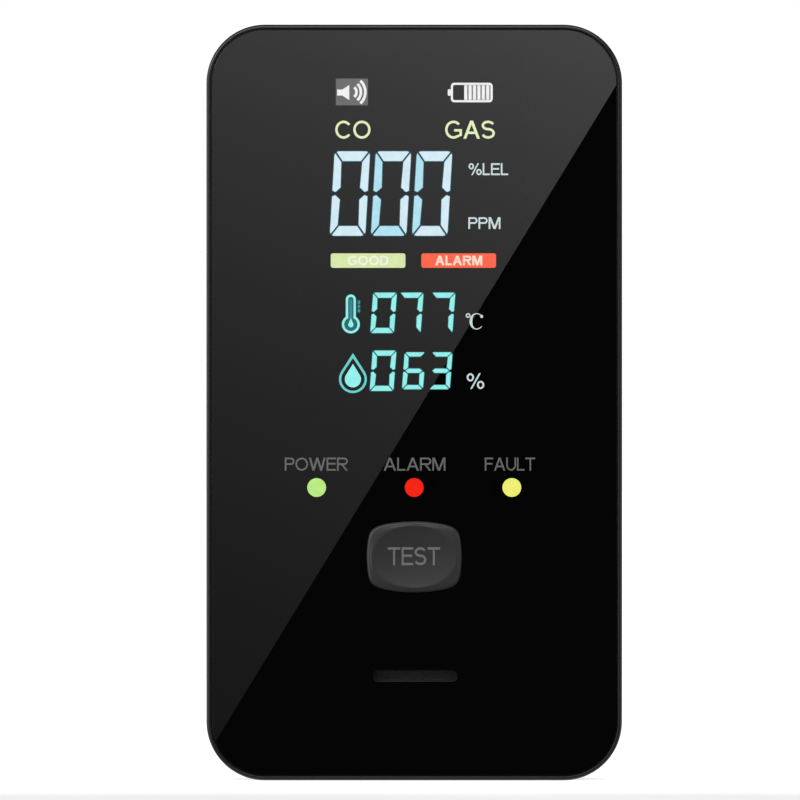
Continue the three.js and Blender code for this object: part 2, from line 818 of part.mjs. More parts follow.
object.add(
  frontFrame(),
  backCover(),
  frontLens(),
  lensMask(),
  ...coverScrews(),
  ratingLabel(),
  displayGroup(),
  ...statusLights(),
  testButton(),
  sounderGroup(),
  mainBoard(),
  chip('microcontroller', 0, 85, 9, 1.2, blackMoulding),
  chip('charger_chip', 18, 28, 4, 0.9, blackMoulding),
  chip('boost_inductor', 19, 37, 6, 2.8, blackMoulding),
  usbPort(),
  sensorGroup(),
  batteryGroup(),
);

export default object;
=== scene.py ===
"""Looks for the household gas alarm: fine shells, lens, button, lit display, inks and materials.

Lengths in the tables below are millimetres and are scaled to metres where meshes are made.
The display faces -Y, +X is to the right seen from the front, and +Z is up.
"""

import json
import math

import bmesh
import bpy
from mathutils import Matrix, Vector

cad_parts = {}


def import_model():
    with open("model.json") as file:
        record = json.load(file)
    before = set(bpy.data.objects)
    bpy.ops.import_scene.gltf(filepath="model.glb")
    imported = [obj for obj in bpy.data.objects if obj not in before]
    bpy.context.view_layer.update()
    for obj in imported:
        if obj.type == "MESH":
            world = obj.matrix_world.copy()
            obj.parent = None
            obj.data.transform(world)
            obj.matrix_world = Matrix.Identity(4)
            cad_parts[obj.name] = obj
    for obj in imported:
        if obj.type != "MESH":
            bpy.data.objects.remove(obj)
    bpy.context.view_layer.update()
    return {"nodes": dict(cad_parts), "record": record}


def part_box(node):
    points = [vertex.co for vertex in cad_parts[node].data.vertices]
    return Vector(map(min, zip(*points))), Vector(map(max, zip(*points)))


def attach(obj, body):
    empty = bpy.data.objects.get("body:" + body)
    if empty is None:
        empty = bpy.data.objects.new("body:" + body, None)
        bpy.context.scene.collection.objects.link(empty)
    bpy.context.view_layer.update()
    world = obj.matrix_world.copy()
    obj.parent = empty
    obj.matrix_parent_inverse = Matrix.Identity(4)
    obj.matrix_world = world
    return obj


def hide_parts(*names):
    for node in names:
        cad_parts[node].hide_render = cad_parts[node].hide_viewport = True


bpy.ops.wm.read_factory_settings(use_empty=True)
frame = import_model()

MM = 0.001


# ---- measures from the CAD frame


def box_mm(node):
    """A CAD node's lowest and highest corners, in millimetres."""
    low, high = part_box(node)
    return low / MM, high / MM


def center_mm(node):
    """The (x, z) middle of a CAD node."""
    low, high = box_mm(node)
    return (low.x + high.x) / 2, (low.z + high.z) / 2


FRAME_LOW, FRAME_HIGH = box_mm("front_frame")
_, COVER_HIGH = box_mm("back_cover")
LENS_LOW, LENS_HIGH = box_mm("front_lens")
MASK_LOW, MASK_HIGH = box_mm("lens_mask")
GLASS_LOW, _ = box_mm("lcd_front_glass")
BUTTON_LOW, BUTTON_HIGH = box_mm("test_button")
LABEL_LOW, LABEL_HIGH = box_mm("rating_label")
SHELL_LOW, SHELL_HIGH = box_mm("usb_c_shell")
_, BOARD_HIGH = box_mm("main_pcb")

WIDTH = FRAME_HIGH.x - FRAME_LOW.x
HEIGHT = FRAME_HIGH.z - FRAME_LOW.z
MIDDLE = HEIGHT / 2
RIM = FRAME_LOW.y
BACK = COVER_HIGH.y
PARTING = FRAME_HIGH.y

CORNER = 9.3
WALL = 2.0
RIM_WIDTH = 0.64
RIM_ROUND = 0.5
RIM_LIP = 0.1
LENS_INSET = 0.9
REAR_EDGE = 3.0
SEAM_EDGE = 0.18
LENS_GAP = 0.02
LIGHTS = ("power", "alarm", "fault")
LIGHT_DIAMETER = 3.0
LIGHT_MARGIN = 1.2


# ---- materials


LENS_TINT = 0.25
ACRYLIC_IOR = 1.49
# painted glow: the emission that stands in for the dim light that the black panel gives back
PANEL_PAINTED_GLOW = 0.0014
WHITE = (1.0, 1.0, 1.0)
WAVE_LENGTH = 0.314  # of a wave texture at scale 1


def linear(*channels):
    """Display colour channels from 0 to 255, as the linear values that shaders use."""
    shares = [channel / 255 for channel in channels]
    return tuple(c / 12.92 if c <= 0.04045 else ((c + 0.055) / 1.055) ** 2.4 for c in shares)


def scaled(color, factor):
    return tuple(c * factor for c in color)


def grey(value):
    return (value,) * 3


class Tree:
    """A node material, built one node at a time."""

    def __init__(self, name):
        self.material = bpy.data.materials.new(name)
        self.material.use_nodes = True
        self.nodes = self.material.node_tree.nodes
        self.links = self.material.node_tree.links

    def add(self, kind, feeds=(), values=(), **settings):
        """Adds a node with settings, socket values and incoming links; gives its outputs."""
        made = self.nodes.new("ShaderNode" + kind)
        for setting, value in settings.items():
            setattr(made, setting, value)
        for socket, value in dict(values).items():
            made.inputs[socket].default_value = value
        for socket, source in dict(feeds).items():
            self.links.new(source, made.inputs[socket])
        return made.outputs

    def surface(self, source):
        """The material, with one output as its whole surface."""
        self.nodes.remove(self.nodes["Principled BSDF"])
        self.links.new(source, self.nodes["Material Output"].inputs["Surface"])
        return self.material


class Shader(Tree):
    """A material with one Principled BSDF, and the few procedural details used here."""

    def __init__(self, name, color, roughness, metallic=0.0, specular=0.5, coat=0.0):
        super().__init__(name)
        self.bsdf = self.nodes["Principled BSDF"]
        self.set("Base Color", (*color, 1.0))
        self.set("Roughness", roughness)
        self.set("Metallic", metallic)
        self.set("Specular IOR Level", specular)
        self.set("Coat Weight", coat)
        self.coordinates = self.add("TexCoord")["Object"]
        self.material.diffuse_color = (*color, 1.0)

    def set(self, socket, value):
        self.bsdf.inputs[socket].default_value = value

    def feed(self, socket, source):
        self.links.new(source, self.bsdf.inputs[socket])
        return self

    def noise(self, grain_mm, detail=3.0, stretch=(1.0, 1.0, 1.0)):
        """A noise texture whose grains are about grain_mm across."""
        vector = self.add("Mapping", {"Vector": self.coordinates}, {"Scale": stretch})["Vector"]
        values = {"Scale": 1.0 / (grain_mm * MM), "Detail": detail}
        return self.add("TexNoise", {"Vector": vector}, values)["Fac"]

    def ramp(self, source, stops, interpolation="LINEAR"):
        """Colours between (position, colour) stops, chosen by a 0 to 1 source."""
        made = self.nodes.new("ShaderNodeValToRGB")
        made.color_ramp.interpolation = interpolation
        elements = made.color_ramp.elements
        while len(elements) < len(stops):
            elements.new(0.5)
        for element, (position, color) in zip(elements, stops):
            element.position = position
            element.color = (*color, 1.0)
        self.links.new(source, made.inputs["Fac"])
        return made.outputs["Color"]

    def spread(self, socket, source, low, high):
        """Maps a 0 to 1 source onto a shader socket, from low to high."""
        values = {"From Min": 0.35, "From Max": 0.65, "To Min": low, "To Max": high}
        return self.feed(socket, self.add("MapRange", {"Value": source}, values)["Result"])

    def tint(self, source, low, high, near=0.35, far=0.65):
        """Varies the base colour between two colours."""
        return self.feed("Base Color", self.ramp(source, [(near, low), (far, high)]))

    def bump(self, source, depth_mm, strength):
        """Relief of the given depth from a 0 to 1 source."""
        values = {"Strength": strength, "Distance": depth_mm * MM}
        return self.feed("Normal", self.add("Bump", {"Height": source}, values)["Normal"])

    def glow(self, color, strength):
        self.set("Emission Color", (*color, 1.0))
        self.set("Emission Strength", strength)
        return self


def housing_plastic():
    shader = Shader("black_abs", (0.0085, 0.0085, 0.0095), 0.3)
    shader.spread("Roughness", shader.noise(9.0), 0.22, 0.27)
    return shader.bump(shader.noise(0.22, detail=2.0), 0.006, 0.35).material


def button_plastic():
    shader = Shader("satin_button", (0.017, 0.017, 0.0172), 0.42)
    shader.spread("Roughness", shader.noise(1.2), 0.38, 0.47)
    return shader.bump(shader.noise(0.12, detail=2.0), 0.004, 0.4).material


def black_with_painted_glow(name):
    """The dark of the mask and the unlit display, with a faint painted glow that stands in for the
    light on them: through the lens it matches the print.
    """
    shader = Shader(name, grey(0.0006), 0.9, specular=0.0)
    shader.tint(shader.noise(3.0), grey(0.0005), grey(0.0007))
    return shader.glow(WHITE, PANEL_PAINTED_GLOW / LENS_TINT).material


def moulding(name, color, roughness):
    """Plain moulded plastic with a little variation in tone and gloss."""
    shader = Shader(name, color, roughness)
    shader.tint(shader.noise(6.0), scaled(color, 0.93), scaled(color, 1.05))
    shader.spread("Roughness", shader.noise(2.5), roughness * 0.88, roughness * 1.12)
    return shader.bump(shader.noise(0.5), 0.004, 0.3).material


def steel(name="plated_steel", color=(0.52, 0.53, 0.55)):
    """Plated steel with fine turning marks."""
    shader = Shader(name, color, 0.3, metallic=1.0)
    marks = shader.noise(0.08, detail=4.0, stretch=(1.0, 1.0, 0.12))
    return shader.spread("Roughness", marks, 0.24, 0.4).bump(marks, 0.003, 0.3).material


def foam():
    shader = Shader("black_foam", grey(0.015), 0.95)
    cells = shader.noise(0.25, detail=4.0)
    return shader.tint(cells, grey(0.008), grey(0.025)).bump(cells, 0.05, 0.7).material


def solder_mask():
    """A circuit board: green lacquer over copper tracks."""
    shader = Shader("solder_mask", (0.012, 0.1, 0.04), 0.32)
    tracks = shader.add("TexBrick", {"Vector": shader.coordinates}, {
        "Scale": 260.0, "Mortar Size": 0.03, "Mortar": (0.02, 0.17, 0.06, 1.0),
        "Color1": (0.012, 0.12, 0.045, 1.0), "Color2": (0.01, 0.085, 0.034, 1.0),
    })
    return shader.feed("Base Color", tracks["Color"]).bump(tracks["Fac"], 0.02, 0.4).material


def woven(name, dark, light, pitch_mm):
    """A woven mesh: crossed threads by two wave textures."""
    shader = Shader(name, dark, 0.85)
    feeds, values = {"Vector": shader.coordinates}, {"Scale": WAVE_LENGTH / (pitch_mm * MM)}
    waves = [shader.add("TexWave", feeds, values, bands_direction=axis)["Fac"] for axis in "XZ"]
    weave = shader.add("Math", enumerate(waves), operation="MAXIMUM")["Value"]
    return shader.tint(weave, dark, light, 0.45, 0.95).bump(weave, 0.06, 0.8).material


def label_film():
    shader = Shader("label_film", (0.42, 0.43, 0.44), 0.38, metallic=0.35)
    brushed = shader.noise(0.1, detail=4.0, stretch=(0.04, 1.0, 1.0))
    shader.tint(brushed, (0.37, 0.38, 0.39), (0.46, 0.47, 0.48))
    return shader.spread("Roughness", brushed, 0.32, 0.46).material


def cell_foil():
    shader = Shader("cell_foil", (0.55, 0.56, 0.58), 0.35, metallic=0.9)
    crease = shader.noise(5.0, detail=5.0)
    return shader.spread("Roughness", crease, 0.28, 0.44).bump(crease, 0.15, 0.5).material


def lit(name, *channels):
    """A lit display area or status light, with the faint unevenness of a diffuser."""
    color = linear(*channels)
    shader = Shader(name, scaled(color, 0.12), 0.6, specular=0.0).glow(color, 1 / LENS_TINT)
    stops = [(0.35, scaled(color, 0.93)), (0.65, color)]
    cloud = shader.ramp(shader.noise(1.1, detail=1.0), stops)
    return shader.feed("Emission Color", cloud).material


def lens_gloss():
    """The polished sheet where its back is printed black, with a faint painted glow that stands in
    for the dim light the black panel gives back.
    """
    shader = Shader("printed_acrylic", grey(0.0001), 0.0)
    shader.set("IOR", ACRYLIC_IOR)
    shader.tint(shader.noise(5.0), grey(0.00008), grey(0.00012))
    # painted glow over the print, the same level as behind the clear windows
    return shader.glow(WHITE, PANEL_PAINTED_GLOW).material


def sawn_edge():
    """The sheet's cut edges, dull and dark."""
    shader = Shader("sawn_acrylic", grey(0.0015), 0.8, specular=0.1)
    return shader.bump(shader.noise(0.15), 0.004, 0.3).material


def lens_window():
    """The polished sheet where it is left clear: smoked acrylic over the display and lights."""
    tree = Tree("smoked_acrylic")
    gloss = {"Color": (*WHITE, 1.0), "Roughness": 0.0}
    mix = tree.add("MixShader", {
        "Fac": tree.add("Fresnel", values={"IOR": ACRYLIC_IOR})["Fac"],
        1: tree.add("BsdfTransparent", values={"Color": (*grey(LENS_TINT), 1.0)})["BSDF"],
        2: tree.add("BsdfGlossy", values=gloss)["BSDF"],
    })
    return tree.surface(mix["Shader"])


def lens_back():
    """The back of the sheet, bonded to the mask and the display, so it has no gloss."""
    tree = Tree("bonded_back")
    return tree.surface(tree.add("BsdfTransparent")["BSDF"])


MATERIALS = {
    "housing_plastic": housing_plastic(),
    "button_plastic": button_plastic(),
    "mask_ink": black_with_painted_glow("mask_ink"),
    "green_light": lit("green_light", 190, 239, 134),
    "red_light": lit("red_light", 252, 40, 24),
    "yellow_light": lit("yellow_light", 244, 245, 118),
    "clear_plastic": moulding("frosted_clear", (0.6, 0.62, 0.62), 0.25),
    "led_package": moulding("led_package", (0.75, 0.75, 0.7), 0.5),
    "display_glass": black_with_painted_glow("display_glass"),
    "white_plastic": moulding("white_plastic", (0.7, 0.7, 0.67), 0.5),
    "black_foam": foam(),
    "amber_film": moulding("amber_film", (0.42, 0.17, 0.03), 0.35),
    "black_moulding": moulding("black_moulding", (0.015, 0.015, 0.016), 0.5),
    "steel": steel(),
    "brass": steel("brass_disc", (0.6, 0.42, 0.16)),
    "mesh_felt": woven("acoustic_mesh", grey(0.004), grey(0.022), 0.24),
    "filter_cloth": woven("filter_cloth", (0.3, 0.3, 0.29), (0.6, 0.6, 0.58), 0.3),
    "board": solder_mask(),
    "cell_foil": cell_foil(),
    "red_wire": moulding("red_wire", (0.5, 0.015, 0.012), 0.45),
    "black_wire": moulding("black_wire", grey(0.012), 0.45),
    "label_film": label_film(),
}
LENS_FINISHES = [lens_gloss(), lens_window(), lens_back(), sawn_edge()]
CLEAR, BONDED, SAWN = 1, 2, 3


# ---- mesh tools


def new_object(name, data, material=None):
    piece = bpy.data.objects.new(name, data)
    bpy.context.scene.collection.objects.link(piece)
    if material:
        data.materials.append(material)
    return piece


def mesh_object(name, vertices, faces, material=None):
    """A mesh from millimetre vertices, with its faces turned outwards."""
    mesh = bpy.data.meshes.new(name)
    mesh.from_pydata([tuple(c * MM for c in v) for v in vertices], [], faces)
    work = bmesh.new()
    work.from_mesh(mesh)
    bmesh.ops.recalc_face_normals(work, faces=work.faces)
    work.to_mesh(mesh)
    work.free()
    return new_object(name, mesh, material)


def rounded_loop(width, height, radius, center, per_corner):
    """The (x, z) points of a rounded rectangle, anticlockwise seen from the front."""
    cx, cz = center
    dx, dz = width / 2 - radius, height / 2 - radius
    points = []
    for quarter, (sx, sz) in enumerate(((1, 1), (-1, 1), (-1, -1), (1, -1))):
        for i in range(per_corner + 1):
            angle = (quarter + i / per_corner) * math.pi / 2
            points.append((
                cx + sx * dx + radius * math.cos(angle),
                cz + sz * dz + radius * math.sin(angle),
            ))
    return [p for i, p in enumerate(points) if math.dist(p, points[i - 1]) > 1e-6]


def housing_loop(inset, per_corner=32):
    return rounded_loop(
        WIDTH - 2 * inset, HEIGHT - 2 * inset, CORNER - inset, (0.0, MIDDLE), per_corner
    )


def loft(name, rings, material=None, closed=False):
    """A skin over rings of equal length that is capped at its ends or joins up on itself."""
    count = len(rings[0])
    vertices = [v for ring in rings for v in ring]
    faces = []
    for r in range(len(rings) if closed else len(rings) - 1):
        a, b = r * count, ((r + 1) % len(rings)) * count
        for i in range(count):
            j = (i + 1) % count
            faces.append((a + i, a + j, b + j, b + i))
    if not closed:
        last = (len(rings) - 1) * count
        faces.append(tuple(range(count - 1, -1, -1)))
        faces.append(tuple(range(last, last + count)))
    return mesh_object(name, vertices, faces, material)


def ring(loop, y):
    return [(x, y, z) for x, z in loop]


def slab(name, loop, front, back):
    """A flat piece with the outline loop, from its front to its back."""
    return loft(name, [ring(loop, front), ring(loop, back)])


def oval(center, radii, first=0.0, last=360.0, steps=14):
    """Points on an ellipse between two angles in degrees; a whole one isn't closed twice."""
    points = []
    for i in range(steps + 1):
        angle = math.radians(first + (last - first) * i / steps)
        points.append((
            center[0] + radii[0] * math.cos(angle), center[1] + radii[1] * math.sin(angle)
        ))
    return points[:-1] if last - first == 360.0 else points


def arc(center, radius, first, last, steps=14):
    return oval(center, (radius, radius), first, last, steps)


def bar_x(name, loop, x0, x1):
    """A bar along X whose section loop holds (y, z) points."""
    return loft(name, [[(x, y, z) for y, z in loop] for x in (x0, x1)])


def joined(name, objects, material=None):
    """One object from several."""
    work = bmesh.new()
    for piece in objects:
        work.from_mesh(piece.data)
        bpy.data.objects.remove(piece)
    mesh = bpy.data.meshes.new(name)
    work.to_mesh(mesh)
    work.free()
    return new_object(name, mesh, material)


def evaluated_mesh(piece):
    """A mesh of the piece as its modifiers or its curve settings make it."""
    bpy.context.view_layer.update()
    graph = bpy.context.evaluated_depsgraph_get()
    return bpy.data.meshes.new_from_object(piece.evaluated_get(graph))


def baked(piece):
    """The piece with its modifiers applied."""
    mesh = evaluated_mesh(piece)
    piece.modifiers.clear()
    piece.data = mesh
    return piece


def combine(piece, other, operation):
    """Joins other to the piece, or cuts it out of the piece."""
    modifier = piece.modifiers.new("combine", "BOOLEAN")
    modifier.operation = operation
    modifier.object = other
    modifier.solver = "EXACT"
    modifier.use_self = operation == "DIFFERENCE"
    baked(piece)
    bpy.data.objects.remove(other)
    return piece


def edged(piece, width_mm):
    """Small rounded edges and even shading, as a moulded part has."""
    return shaded(rounded(piece, width_mm))


def rounded(piece, width_mm):
    """The piece with its sharp edges rounded."""
    clean = bmesh.new()
    clean.from_mesh(piece.data)
    bmesh.ops.remove_doubles(clean, verts=clean.verts, dist=0.002 * MM)
    bmesh.ops.dissolve_degenerate(clean, dist=0.001 * MM, edges=clean.edges)
    clean.to_mesh(piece.data)
    clean.free()
    bevel = piece.modifiers.new("edge", "BEVEL")
    bevel.width = width_mm * MM
    bevel.segments = 2
    bevel.limit_method = "ANGLE"
    bevel.angle_limit = math.radians(35.0)
    bevel.miter_outer = "MITER_ARC"
    return baked(piece)


def shaded(piece, angle=32.0):
    """Smooth shading that keeps true corners and lets flat faces stay flat."""
    piece.data.shade_smooth()
    piece.data.set_sharp_from_angle(angle=math.radians(angle))
    weigh = piece.modifiers.new("weigh", "WEIGHTED_NORMAL")
    weigh.keep_sharp = True
    weigh.weight = 60
    return baked(piece)


def place(piece, body="root", stands_for=()):
    """Puts a piece on its body, in place of CAD nodes."""
    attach(piece, body)
    if stands_for:
        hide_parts(*stands_for)
    return piece


# ---- housing


FLANGE = 1.12
FLANGE_THICKNESS = 0.8
BUTTON_POWER = 9.0
BUTTON_BOW = (0.08, 0.17)
BUTTON_Z = center_mm("test_button")[1]
BUTTON_HALF = (
    (BUTTON_HIGH.x - BUTTON_LOW.x) / 2 / FLANGE,
    (BUTTON_HIGH.z - BUTTON_LOW.z) / 2 / FLANGE,
)
BUTTON_CLEARANCE = 0.2
SLOT_CENTER = center_mm("sounder_mesh")
SLOT_SIZE = (13.3, 1.74)
SCREWS = [center_mm(f"cover_screw_{i}") for i in (1, 2, 3, 4)]
SCREW = {"seat": 9.4, "head": 5.4, "shank": 2.9, "tube": 7.4}
PORT_CENTER = ((SHELL_LOW.y + SHELL_HIGH.y) / 2, (SHELL_LOW.z + SHELL_HIGH.z) / 2)
PORT_SIZE = (3.6, 9.34)
LEDGE = {"inset": 5.0, "thickness": 1.5}
TONGUE = {"inset": 1.0, "depth": 1.65}
KEYHOLE = {
    "x": 15.0, "z": 101.0, "head": 7.4, "shank": 3.8, "rise": 6.0, "depth": 3, "room": 0.4,
    "wall": 1, "trim": 1,
}
VENT = {"z": 83.0, "count": 5, "pitch": 3.4, "height": 1.6, "width": 12.0, "x": 13.0}
SIDE_VENT = {"y": 5.1, "width": 7.0, "height": 1.2}
LABEL_ROOM = 0.4
BEYOND = 1  # how far a cutter stands out of what it cuts
OVERLAP = 0.5  # how far an added piece sinks into the wall


def button_hole_loop(clearance, count=96):
    """The button's outline, or its hole: a superellipse whose sides bow out."""
    half_width = BUTTON_HALF[0] + clearance
    half_height = BUTTON_HALF[1] + clearance
    loop = []
    for i in range(count):
        angle = 2 * math.pi * i / count
        across, up = math.cos(angle), math.sin(angle)
        reach = (abs(across) ** BUTTON_POWER + abs(up) ** BUTTON_POWER) ** (1 / BUTTON_POWER)
        u, v = across / reach, up / reach
        loop.append((
            half_width * u * (1 - BUTTON_BOW[0] * v * v),
            BUTTON_Z + half_height * v * (1 - BUTTON_BOW[1] * u * u),
        ))
    return loop


def circle(diameter, center, per_corner=12):
    return rounded_loop(diameter, diameter, diameter / 2, center, per_corner)


def port_cutter():
    """The charging inlet's opening through the right wall."""
    loop = rounded_loop(*PORT_SIZE, PORT_SIZE[0] / 2, PORT_CENTER, 10)
    return bar_x("port_cutter", loop, WIDTH / 2 - WALL - BEYOND, WIDTH / 2 + BEYOND)


def front_shell():
    """The front frame: side walls, the bead of the rim, and the ledge under the lens."""
    ledge, ledge_back = MASK_HIGH.y, MASK_HIGH.y + LEDGE["thickness"]
    step = PARTING - TONGUE["depth"]
    profile = [(TONGUE["inset"], PARTING)]
    profile += arc((SEAM_EDGE, PARTING - SEAM_EDGE), SEAM_EDGE, 90, 180, 4)
    profile += arc((RIM_ROUND, RIM + RIM_ROUND), RIM_ROUND, 180, 270, 12)
    profile += arc((RIM_WIDTH - RIM_LIP, RIM + RIM_LIP), RIM_LIP, 270, 360, 4)
    profile += [
        (RIM_WIDTH, ledge), (LEDGE["inset"], ledge), (LEDGE["inset"], ledge_back),
        (WALL, ledge_back), (WALL, step), (TONGUE["inset"], step),
    ]
    rings = [ring(housing_loop(inset), y) for inset, y in profile]
    shell = loft("front_shell", rings, MATERIALS["housing_plastic"], closed=True)
    combine(shell, port_cutter(), "DIFFERENCE")
    return place(edged(shell, 0.08), stands_for=["front_frame"])


def rear_cutters():
    """Everything that is cut through or into the back cover."""
    inside, outside = BACK - WALL - BEYOND, BACK + BEYOND
    cutters = []

    def cut(name, loop, front=inside, back=outside):
        cutters.append(slab(name, loop, front, back))

    shank, rise = KEYHOLE["shank"], KEYHOLE["rise"]
    for side in (-1, 1):
        x, z = side * KEYHOLE["x"], KEYHOLE["z"]
        cut("head", circle(KEYHOLE["head"], (x, z)))
        cut("rise", rounded_loop(shank, rise + shank, shank / 2, (x, z + rise / 2), 10))
    width, height = VENT["width"], VENT["height"]
    long, thin = SIDE_VENT["width"], SIDE_VENT["height"]
    for i in range(VENT["count"]):
        z = VENT["z"] + (i - (VENT["count"] - 1) / 2) * VENT["pitch"]
        for side in (-1, 1):
            cut("vent", rounded_loop(width, height, height / 2 - 0.01, (side * VENT["x"], z), 8))
            loop = rounded_loop(long, thin, thin / 2 - 0.01, (SIDE_VENT["y"], z), 6)
            x = side * (WIDTH / 2 - WALL / 2)
            cutters.append(bar_x("side_vent", loop, x - WALL, x + WALL))
    for center in SCREWS:
        cut("counterbore", circle(SCREW["head"], center), SCREW["seat"])
        hole = circle(SCREW["shank"], center, 8)
        cut("screw_hole", hole, BOARD_HIGH.y - BEYOND, SCREW["seat"] + 0.1)
    label = (LABEL_HIGH.x - LABEL_LOW.x + LABEL_ROOM, LABEL_HIGH.z - LABEL_LOW.z + LABEL_ROOM)
    middle = (0, (LABEL_LOW.z + LABEL_HIGH.z) / 2)
    cut("label_recess", rounded_loop(*label, 1.7, middle, 8), LABEL_LOW.y)
    return cutters


def back_shell():
    """The back cover with its rounded rear edge, keyholes, vents and screw wells."""
    inner = BACK - WALL
    profile = [(WALL, PARTING)]
    profile += arc((SEAM_EDGE, PARTING + SEAM_EDGE), SEAM_EDGE, 270, 180, 4)
    profile += arc((REAR_EDGE, BACK - REAR_EDGE), REAR_EDGE, 180, 90, 12)
    rings = [ring(housing_loop(inset), y) for inset, y in profile]
    outside = loft("back_shell", rings, MATERIALS["housing_plastic"])
    hollow = slab("hollow", housing_loop(WALL, 20), PARTING - BEYOND, inner)
    combine(outside, hollow, "DIFFERENCE")
    additions = [
        slab("tube", circle(SCREW["tube"], center), BOARD_HIGH.y, inner + OVERLAP)
        for center in SCREWS
    ]
    rooms = []
    half, depth, wall = KEYHOLE["head"] / 2 + KEYHOLE["room"], KEYHOLE["depth"], KEYHOLE["wall"]
    low, high = KEYHOLE["z"] - half, KEYHOLE["z"] + KEYHOLE["rise"] + half - KEYHOLE["trim"]
    for side in (-1, 1):
        x = side * KEYHOLE["x"]
        for grow, store, front, back in (
            (wall, additions, depth + wall, OVERLAP), (0, rooms, depth, 0),
        ):
            left, right = x - half - grow, x + half + grow
            loop = [
                (left, low - grow), (right, low - grow), (right, high + grow), (left, high + grow),
            ]
            store.append(slab("cup", loop, inner - front, inner + back))
    combine(outside, joined("additions", additions), "UNION")
    combine(outside, joined("rooms", rooms), "DIFFERENCE")
    combine(outside, joined("cutters", rear_cutters()), "DIFFERENCE")
    combine(outside, port_cutter(), "DIFFERENCE")
    return place(edged(outside, 0.14), stands_for=["back_cover"])


# ---- lens and button


def lens_windows():
    """The lens areas left clear, as lowest and highest (x, z): the display and three lights."""
    areas = []
    for node, margin in (
        ("lcd_front_glass", 0.0), *((f"{name}_light_pipe", LIGHT_MARGIN) for name in LIGHTS)
    ):
        low, high = box_mm(node)
        areas.append(((low.x - margin, low.z - margin), (high.x + margin, high.z + margin)))
    return areas


def windowed(sheet):
    """Gives the lens its print, its clear windows and its bonded back."""
    work = bmesh.new()
    work.from_mesh(sheet.data)
    for low, high in lens_windows():
        for corner in (low, high):
            for axis, level in ((Vector((1, 0, 0)), corner[0]), (Vector((0, 0, 1)), corner[1])):
                bmesh.ops.bisect_plane(
                    work, geom=[*work.verts, *work.edges, *work.faces], plane_co=axis * level * MM,
                    plane_no=axis, dist=0.001 * MM,
                )
    for face in work.faces:
        center = face.calc_center_median() / MM
        if face.normal.y > 0.9:
            face.material_index = BONDED
        elif abs(face.normal.y) < 0.3:
            face.material_index = SAWN
        elif face.normal.y < -0.9 and any(
            low[0] < center.x < high[0] and low[1] < center.z < high[1]
            for low, high in lens_windows()
        ):
            face.material_index = CLEAR
        face.smooth = abs(face.normal.y) < 0.9
    work.to_mesh(sheet.data)
    work.free()
    return sheet


def front_lens():
    """The glossy sheet over the whole front, with holes for the button and the sounder."""
    back = LENS_HIGH.y - LENS_GAP
    sheet = slab("front_sheet", housing_loop(LENS_INSET), LENS_LOW.y, back)
    hole = slab("hole", button_hole_loop(BUTTON_CLEARANCE), LENS_LOW.y - BEYOND, back + BEYOND)
    slot_loop = rounded_loop(*SLOT_SIZE, SLOT_SIZE[1] / 2 - 0.2, SLOT_CENTER, 8)
    slot = slab("slot", slot_loop, LENS_LOW.y - BEYOND, back + BEYOND)
    combine(sheet, joined("lens_cutters", [hole, slot]), "DIFFERENCE")
    rounded(sheet, 0.025)
    sheet.data.materials.clear()
    for material in LENS_FINISHES:
        sheet.data.materials.append(material)
    return place(windowed(sheet), stands_for=["front_lens"])


DISH = {"half_width": 6.7, "half_height": 4.95, "depth": 0.6}
EDGE_ROUND = 0.55
EDGE_STEPS = 10
CROWN_FALL = 0.12
BLEND_STEPS = 8
DISH_STEPS = 25


def dish_depth(x, z):
    """How far the finger dish lies behind the button's crown at (x, z) from its middle."""
    reach = (x / DISH["half_width"]) ** 2 + (z / DISH["half_height"]) ** 2
    return DISH["depth"] * max(0.0, 1 - reach)


def test_button():
    """The test button: a pillow-shaped key with an oval finger dish."""
    outline = [(x, z - BUTTON_Z) for x, z in button_hole_loop(0.0, 144)]
    crown, half_width, half_height = BUTTON_LOW.y, DISH["half_width"], DISH["half_height"]

    def layer(points, y, scale_x=1.0, scale_z=1.0):
        return ring([(x * scale_x, BUTTON_Z + z * scale_z) for x, z in points], y)

    flange_front = BUTTON_HIGH.y - FLANGE_THICKNESS
    rings = [layer(outline, y, FLANGE, FLANGE) for y in (BUTTON_HIGH.y, flange_front)]
    rings.append(layer(outline, flange_front))
    for i in range(EDGE_STEPS + 1):
        angle = math.radians(90 * i / EDGE_STEPS)
        inset = EDGE_ROUND * (1 - math.cos(angle))
        rings.append(layer(
            outline, crown + CROWN_FALL + EDGE_ROUND * (1 - math.sin(angle)),
            1 - inset / BUTTON_HALF[0], 1 - inset / BUTTON_HALF[1],
        ))
    shoulder = [
        (x * (1 - EDGE_ROUND / BUTTON_HALF[0]), z * (1 - EDGE_ROUND / BUTTON_HALF[1]))
        for x, z in outline
    ]
    angles = [math.atan2(z / half_height, x / half_width) for x, z in shoulder]
    edge = [(half_width * math.cos(angle), half_height * math.sin(angle)) for angle in angles]
    for i in range(1, BLEND_STEPS + 1):
        t = i / BLEND_STEPS
        blend = [(x + (u - x) * t, z + (v - z) * t) for (x, z), (u, v) in zip(shoulder, edge)]
        rings.append(layer(blend, crown + CROWN_FALL * (1 - t) ** 2))
    for i in range(1, DISH_STEPS):
        share = 1 - i / DISH_STEPS
        rings.append(layer(edge, crown + DISH["depth"] * (1 - share ** 2), share, share))
    button = shaded(loft("test_key", rings, MATERIALS["button_plastic"]), 50.0)
    return place(button, "test_button_body", ["test_button"])


# ---- inks and lit display


